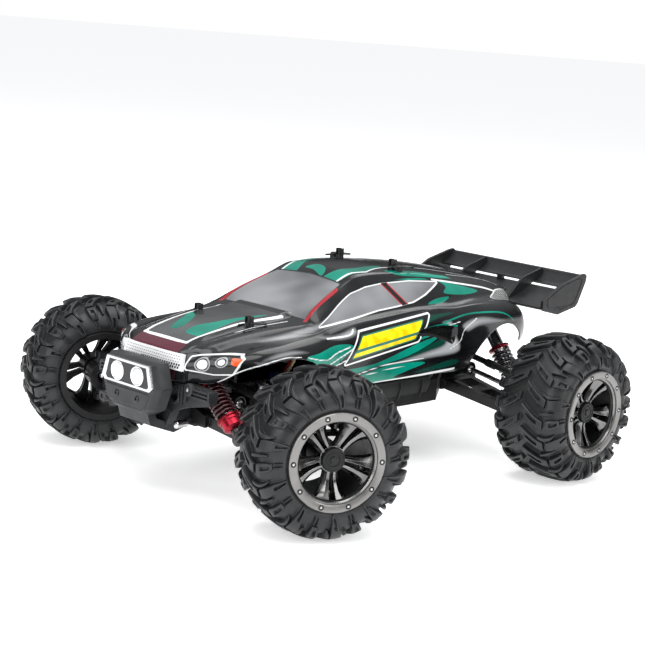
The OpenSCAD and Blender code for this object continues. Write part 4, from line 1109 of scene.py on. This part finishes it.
def wing():
    body, detail, bolts = Shape(), Shape(), Shape()
    half = 65
    upper = smooth_path([(161, 109.6), (168, 110.6), (177, 112.8), (186, 116.0), (193.6, 120.0)], 4)
    under = [(p[0] + 0.6, p[1] - 1.9) for p in upper]
    front = [tuple(p) for p in upper] + [(194.8, 119.8), (194.8, 118.8)] + under[::-1] + [(160.6, 108.6)]
    curve = smooth_path([(197.4, 122.0), (201, 123.0), (205, 125.4), (208.2, 128.4), (209.8, 130.4)], 4)
    under = [(p[0] + 0.9, p[1] - 1.4) for p in curve]
    rear = [tuple(p) for p in curve] + [(210.4, 131.2), (213.0, 131.4), (213.2, 130.4), (211.6, 129.8)] + under[::-1]
    body.add(prism(front, -half, half, "x"), prism(rear, -half, half, "x"))
    piece("wing_blades", here(body), WING_BLACK, "chassis", ["wing"], bevel=0.25, angle=50)
    plate = [(160.5, 114.8), (160.5, 108.6), (162.5, 107), (180, 103.2), (202, 107.6), (204.6, 110), (212.6, 126.6),
             (213.2, 131.2), (211, 132.8), (206.4, 132.2), (181.5, 125.8)]
    fin = [(167, 109.8), (177, 112.2), (186, 115.2), (193, 119), (198, 122), (203, 124), (208.2, 128.2), (208.6, 131),
           (205.8, 131.8), (183.5, 125.6), (178, 121.8), (167.5, 111.6)]
    plates = Shape().add(prism(plate, half - 0.5, half + 2.1, "x"))
    piece("wing_end_plates", here(plates.both_sides()), WING_BLACK, "chassis", bevel=0.6)
    fins = prism(fin, 27, 29, "x").both_sides()
    piece("wing_fins", here(fins), WING_BLACK, "chassis", bevel=0.5)
    inset = shrunk(plate, 0.8, (188, 119))
    inner = shrunk(inset, 0.93, (188, 119))
    x = half + 2.1
    rim = sheet([[Vector((x - 0.3, u, v)) for u, v in inset], [Vector((x + 0.45, u, v)) for u, v in shrunk(inset, 0.985, (188, 119))],
                 [Vector((x + 0.45, u, v)) for u, v in shrunk(inner, 1.015, (188, 119))], [Vector((x - 0.3, u, v)) for u, v in inner]],
                wrap_points=True)
    detail.add(rim, box((x - 0.3, 178, 108.4), (x + 0.4, 200, 109.0)))
    piece("wing_plate_rims", here(detail.both_sides()), WING_BLACK, "chassis", angle=25)
    bosses = Shape()
    lean = (0, -0.32, 0.95)
    for bx in (-10.5, 10.5):
        bosses.add(lathe([(-1, 0), (-1, 4.6), (0.6, 4.6), (1.0, 3.9), (0.7, 3.2), (0.7, 0)], 28).moved(facing((bx, 180, 113.8), lean)))
        bolts.add(screw((bx, 179.8, 114.5), lean, 2.3, 1.4))
    bosses.add(box((-2.6, 191, 117.6), (2.6, 194.2, 123.2)))
    wedge = [(176.2, 110.6), (191.8, 110.6), (191.8, 118), (184, 114.2), (176.2, 111.6)]
    bosses.add(prism(wedge, 8.8, 13.2, "x").both_sides())
    piece("wing_bosses", here(bosses), WING_BLACK, "chassis", bevel=0.2)
    piece("wing_bolts", here(bolts), BLACK_STEEL, "chassis")


def clips():
    low, high = low_mm("body_clips"), high_mm("body_clips")
    wires, heads = Shape(), Shape()
    for x, y, z in post_tops():
        path = [(0, -9.5, 0), (0, 0, 0), (0, 7, 0), (0.6, 9.8, 0), (3, 11, 0), (6.2, 9.6, 0.3), (6.4, 6, 0.6), (4.6, 2, 0.6),
                (2.6, -1, 0.5), (3.4, -5, 0.5), (5.4, -8.6, 0.6)]
        wires.add(tube(smooth_path(path, 5), 0.7, 8).shifted(x, y, z - 0.9))
        heads.add(lathe([(-5.5, 0), (-5.5, 5.2), (-4.4, 5.2), (-4.0, 3.6), (0, 3.3), (0.7, 3.0), (1.1, 2.2), (1.1, 0)], 20)
                  .moved(facing((x, y, z - 0.6), (0, 0, 1))))
    piece("body_clip_wires", wires, BLACK_STEEL, "shell", ["body_clips"])
    piece("body_post_heads", heads, BLACK, "chassis", bevel=0.2)


def post_tops():
    """Centres of the four clips, from the boxes of the clips node."""
    low, high = low_mm("body_clips"), high_mm("body_clips")
    rear_x = None
    front_y, rear_y = low.y + 10, high.y - 10.8
    for side in (LEFT, RIGHT):
        yield side * POST_X[0], front_y, low.z + 0.8
        yield side * POST_X[1], rear_y, high.z - 0.8


POST_X = (25, 31)


# ---- shocks ----

SHOCK_FOOT = Vector((67, 0, 48))


def shock(corner, side):
    """Tube, collar, coil and rod of one shock; the coil runs from the collar to the cup."""
    head = joint_mm(f"shock_{corner}")
    foot = Vector((side * SHOCK_FOOT.x, head.y, SHOCK_FOOT.z))
    length = (foot - head).length
    at = facing(head, foot - head)
    front = corner[0] == "f"
    eye = lathe([(-4.6, 1.7), (-4.6, 3.2), (-3.6, 4.1), (3.6, 4.1), (4.6, 3.2), (4.6, 1.7)], 24)
    across = Matrix.Rotation(math.pi / 2, 4, "Z")
    seat = length - 17 if front else length - 12.5
    top = 9.2 if front else 21.5
    tube_end = length - 21
    body = Shape().add(eye.moved(across))
    body.add(lathe([(2.5, 0), (2.5, 3.2), (4.6, 3.4), (5, 5.7), (7.6, 5.9), (7.8, 4.9), (tube_end - 2.6, 4.9),
                    (tube_end - 2.4, 5.6), (tube_end - 0.2, 5.6), (tube_end, 5.0), (tube_end, 0)], 36))
    piece(f"shock_tube_{corner}", body.moved(at), SHOCK_BLACK if front else SILVER_METAL, f"shock_{corner}",
          [f"shock_body_{corner}"])
    collar = lathe([(top, 5.0), (top, 7.4), (top + 0.5, 8.1), (top + 1.9, 8.1), (top + 2.4, 7.4), (top + 2.4, 5.0)], 28)
    piece(f"shock_collar_{corner}", collar.moved(at), RED_METAL, f"shock_{corner}")
    rod = Shape().add(lathe([(tube_end - 6, 0), (tube_end - 6, 1.6), (length - 7, 1.6), (length - 7, 0)], 16))
    piece(f"shock_piston_{corner}", rod.moved(at), STEEL, f"rod_{corner}")
    cup = lathe([(seat, 6.0), (seat, 7.9), (seat + 1.2, 8.2), (seat + 1.4, 7.2), (seat + 3.4, 7.3), (seat + 3.6, 6.7),
                 (seat + 7.6, 6.7), (seat + 9.4, 4.6), (seat + 9.4, 1.7), (seat + 8.2, 1.7), (seat + 8.2, 6.0)], 32)
    piece(f"shock_cup_{corner}", cup.moved(at), RED_METAL if front else SHOCK_BLACK, f"rod_{corner}",
          [f"shock_rod_{corner}"])
    end_eye = Shape().add(eye.moved(Matrix.Translation((length, 0, 0)) @ across))
    end_eye.add(lathe([(seat + 8.6, 1.6), (seat + 8.6, 3.1), (length - 2.6, 3.1), (length - 2.4, 1.6)], 20))
    piece(f"shock_eye_{corner}", end_eye.moved(at), SHOCK_BLACK, f"rod_{corner}")
    start, end, turns = top + 3.4, seat - 1.0, 7.5 if front else 6.5
    path = []
    for i in range(int(turns * 20) + 1):
        t = i / (turns * 20)
        flat = min(1, t * turns, (1 - t) * turns)
        x = start + (end - start) * (t + 0.25 / turns * (0.5 - t) * (1 - flat))
        a = 2 * math.pi * turns * t
        path.append((x, 6.7 * math.sin(a), 6.7 * math.cos(a)))
    coil = piece(f"shock_coil_{corner}", tube(path, 1.05, 10).moved(at), COIL_RED if front else SPRING, None,
                 [f"spring_{corner}"])
    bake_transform(coil)


# ---- chassis, electrics and the carried-over parts ----

def chassis_details():
    guard, seams, bolts = Shape(), Shape(), Shape()
    section = [(44, 45.5), (50, 47), (53.5, 60), (53.5, 66.5), (52, 66.5), (51.6, 60.5), (48.6, 49), (44, 47.5)]
    rows = []
    for y in (-56, -50, 52, 62):
        tuck = 5 if y in (-56, 62) else 0
        rows.append([Vector((u - tuck, y, v)) for u, v in section])
    guard.add(capped(rows))
    piece("side_guards", here(guard.both_sides()), BLACK, "chassis", bevel=0.3)
    for y in (-30, -4, 22, 45):
        seams.add(prism([(50.2, 47.4), (51.2, 47.6), (54.1, 60), (54.1, 66.2), (53.2, 66.2), (53.0, 60)], y - 0.5, y + 0.5, "y"))
    seams.add(box((53.2, -48, 64.9), (54.2, 50, 66.5)))
    piece("guard_ribs", here(seams.both_sides()), BLACK, "chassis", bevel=0.2)
    box_shape = Shape().add(box((-32, -62, 60), (-8, -34, 78)), box((-30, -60, 78), (-10, -36, 79.5)))
    piece("receiver_box", here(box_shape), BLACK, "chassis", bevel=0.8)
    fins = Shape()
    for i in range(7):
        fins.add(box((-29.5 + i * 3, -58, 79.4), (-28.3 + i * 3, -38, 84)))
    piece("receiver_fins", here(fins), SILVER_METAL, "chassis", bevel=0.15)
    for name, finish_, shift in (("wire_red", RED_WIRE, 0), ("wire_cream", CREAM_WIRE, 2.4), ("wire_black", BLACK_WIRE, -2.4)):
        path = [(20 + shift, -60, 74), (32 + shift, -66, 86), (41 + shift, -78, 89 + shift), (43, -90 + shift, 90.5),
                (34 + shift, -100, 88), (20, -100 + shift, 80)]
        piece(name, here(tube(smooth_path(path, 6), 1.15, 8)), finish_, "chassis")


def dress_cad():
    """Gives each carried-over CAD node its finish."""
    looks = {
        "chassis_tub": BLACK, "front_gearbox": BLACK, "rear_gearbox": BLACK, "front_shock_tower": ARM_BLACK,
        "rear_shock_tower": ARM_BLACK, "front_bumper": BUMPER_GREY, "motor_pinion": BRASS, "motor": MOTOR_CAN,
        "battery": PACK_WRAP, "steering_servo": BLACK, "steering_rack": ARM_BLACK, "centre_shaft": STEEL,
        "tie_rod": STEEL, "lower_arm": ARM_BLACK, "upper_link": ARM_BLACK, "driveshaft": STEEL, "axle": STEEL,
        "c_hub": ARM_BLACK, "knuckle": ARM_BLACK, "hub_carrier": ARM_BLACK,
    }
    for thing in sorted(bpy.context.scene.objects, key=lambda o: o.name):
        for start, look in looks.items():
            if thing.type == "MESH" and (thing.name == start or thing.name[:-3] == start or thing.name[:-2] == start):
                for place in thing.material_slots:
                    place.material = look


lamp_unit()
bumper_details()
wing()
clips()
for corner, side in CORNERS.items():
    shock(corner, side)
chassis_details()
dress_cad()


# ---- camera, floor and light ----

def camera():
    """The picture's viewpoint, as turns about the point 55 mm above the middle of the wheelbase."""
    az, el, roll, pan, tilt = (math.radians(v) for v in (43.53, 12.51, 4.40, 0.192, -2.074))
    back = Vector((math.sin(az) * math.cos(el), -math.cos(az) * math.cos(el), math.sin(el)))
    right = Vector((0, 0, 1)).cross(back).normalized()
    up = back.cross(right)
    place = Vector((0, MID_Y, 55)) + back * 1195.6
    ahead = back * math.cos(pan) + right * math.sin(pan)
    right = right * math.cos(pan) - back * math.sin(pan)
    back = ahead * math.cos(tilt) + up * math.sin(tilt)
    up = up * math.cos(tilt) - ahead * math.sin(tilt)
    across = right * math.cos(roll) + up * math.sin(roll)
    up = up * math.cos(roll) - right * math.sin(roll)
    lens = bpy.data.cameras.new("camera")
    lens.sensor_width, lens.lens = 36, 93.57
    lens.clip_start, lens.clip_end = 0.05, 20
    eye = bpy.data.objects.new("camera", lens)
    eye.matrix_world = Matrix.Translation(place * MM) @ Matrix((across, up, back)).transposed().to_4x4()
    bpy.context.scene.collection.objects.link(eye)
    bpy.context.scene.camera = eye


def lamp(name, place, size, watts, colour=(1, 1, 1)):
    """A soft square light aimed at the model."""
    light = bpy.data.lights.new(name, "AREA")
    light.shape, light.size, light.energy, light.color = "SQUARE", size, watts, colour
    thing = bpy.data.objects.new(name, light)
    aim = Vector((0, MID_Y * MM, 0.06)) - Vector(place)
    thing.matrix_world = Matrix.Translation(place) @ aim.to_track_quat("-Z", "Y").to_matrix().to_4x4()
    bpy.context.scene.collection.objects.link(thing)


def floor():
    n = Nodes("pale_floor")
    n.set(Base_Color=(0.93, 0.93, 0.935), Roughness=0.7, Emission_Color=(1, 1, 1), Emission_Strength=0.5)
    mesh = bpy.data.meshes.new("floor")
    mesh.from_pydata([(-30, -30, 0), (30, -30, 0), (30, 30, 0), (-30, 30, 0)], [], [(0, 1, 2, 3)])
    mesh.materials.append(n.material)
    thing = bpy.data.objects.new("floor", mesh)
    bpy.context.scene.collection.objects.link(thing)


camera()
floor()
lamp("light_top", (0.2, -0.3, 1.7), 1.6, 30)
lamp("light_front", (0.55, -1.7, 0.8), 1.1, 16)
lamp("light_side", (1.8, 0.3, 0.9), 1.1, 14)
lamp("light_back", (-0.5, 1.5, 1.9), 1.2, 12)


def sky():
    """White behind the model, a dimmer room for its light and reflections."""
    world = bpy.data.worlds.new("sky")
    world.use_nodes = True
    tree = world.node_tree
    room = tree.nodes["Background"]
    room.inputs["Color"].default_value = (0.93, 0.94, 0.96, 1)
    ways = tree.nodes.new("ShaderNodeTexCoord")
    split = tree.nodes.new("ShaderNodeSeparateXYZ")
    rise = tree.nodes.new("ShaderNodeMapRange")
    tree.links.new(ways.outputs["Generated"], split.inputs[0])
    tree.links.new(split.outputs["Z"], rise.inputs[0])
    for socket, number in zip(range(1, 5), (0.12, 0.62, 0.06, 0.6)):
        rise.inputs[socket].default_value = number
    tree.links.new(rise.outputs[0], room.inputs["Strength"])
    wall, ray, mix = (tree.nodes.new(kind) for kind in ("ShaderNodeBackground", "ShaderNodeLightPath",
                                                        "ShaderNodeMixShader"))
    wall.inputs["Color"].default_value = (1, 1, 1, 1)
    wall.inputs["Strength"].default_value = 1.0
    tree.links.new(ray.outputs["Is Camera Ray"], mix.inputs[0])
    tree.links.new(room.outputs[0], mix.inputs[1])
    tree.links.new(wall.outputs[0], mix.inputs[2])
    tree.links.new(mix.outputs[0], tree.nodes["World Output"].inputs["Surface"])
    bpy.context.scene.world = world


sky()
bpy.context.scene.view_settings.view_transform = "Standard"
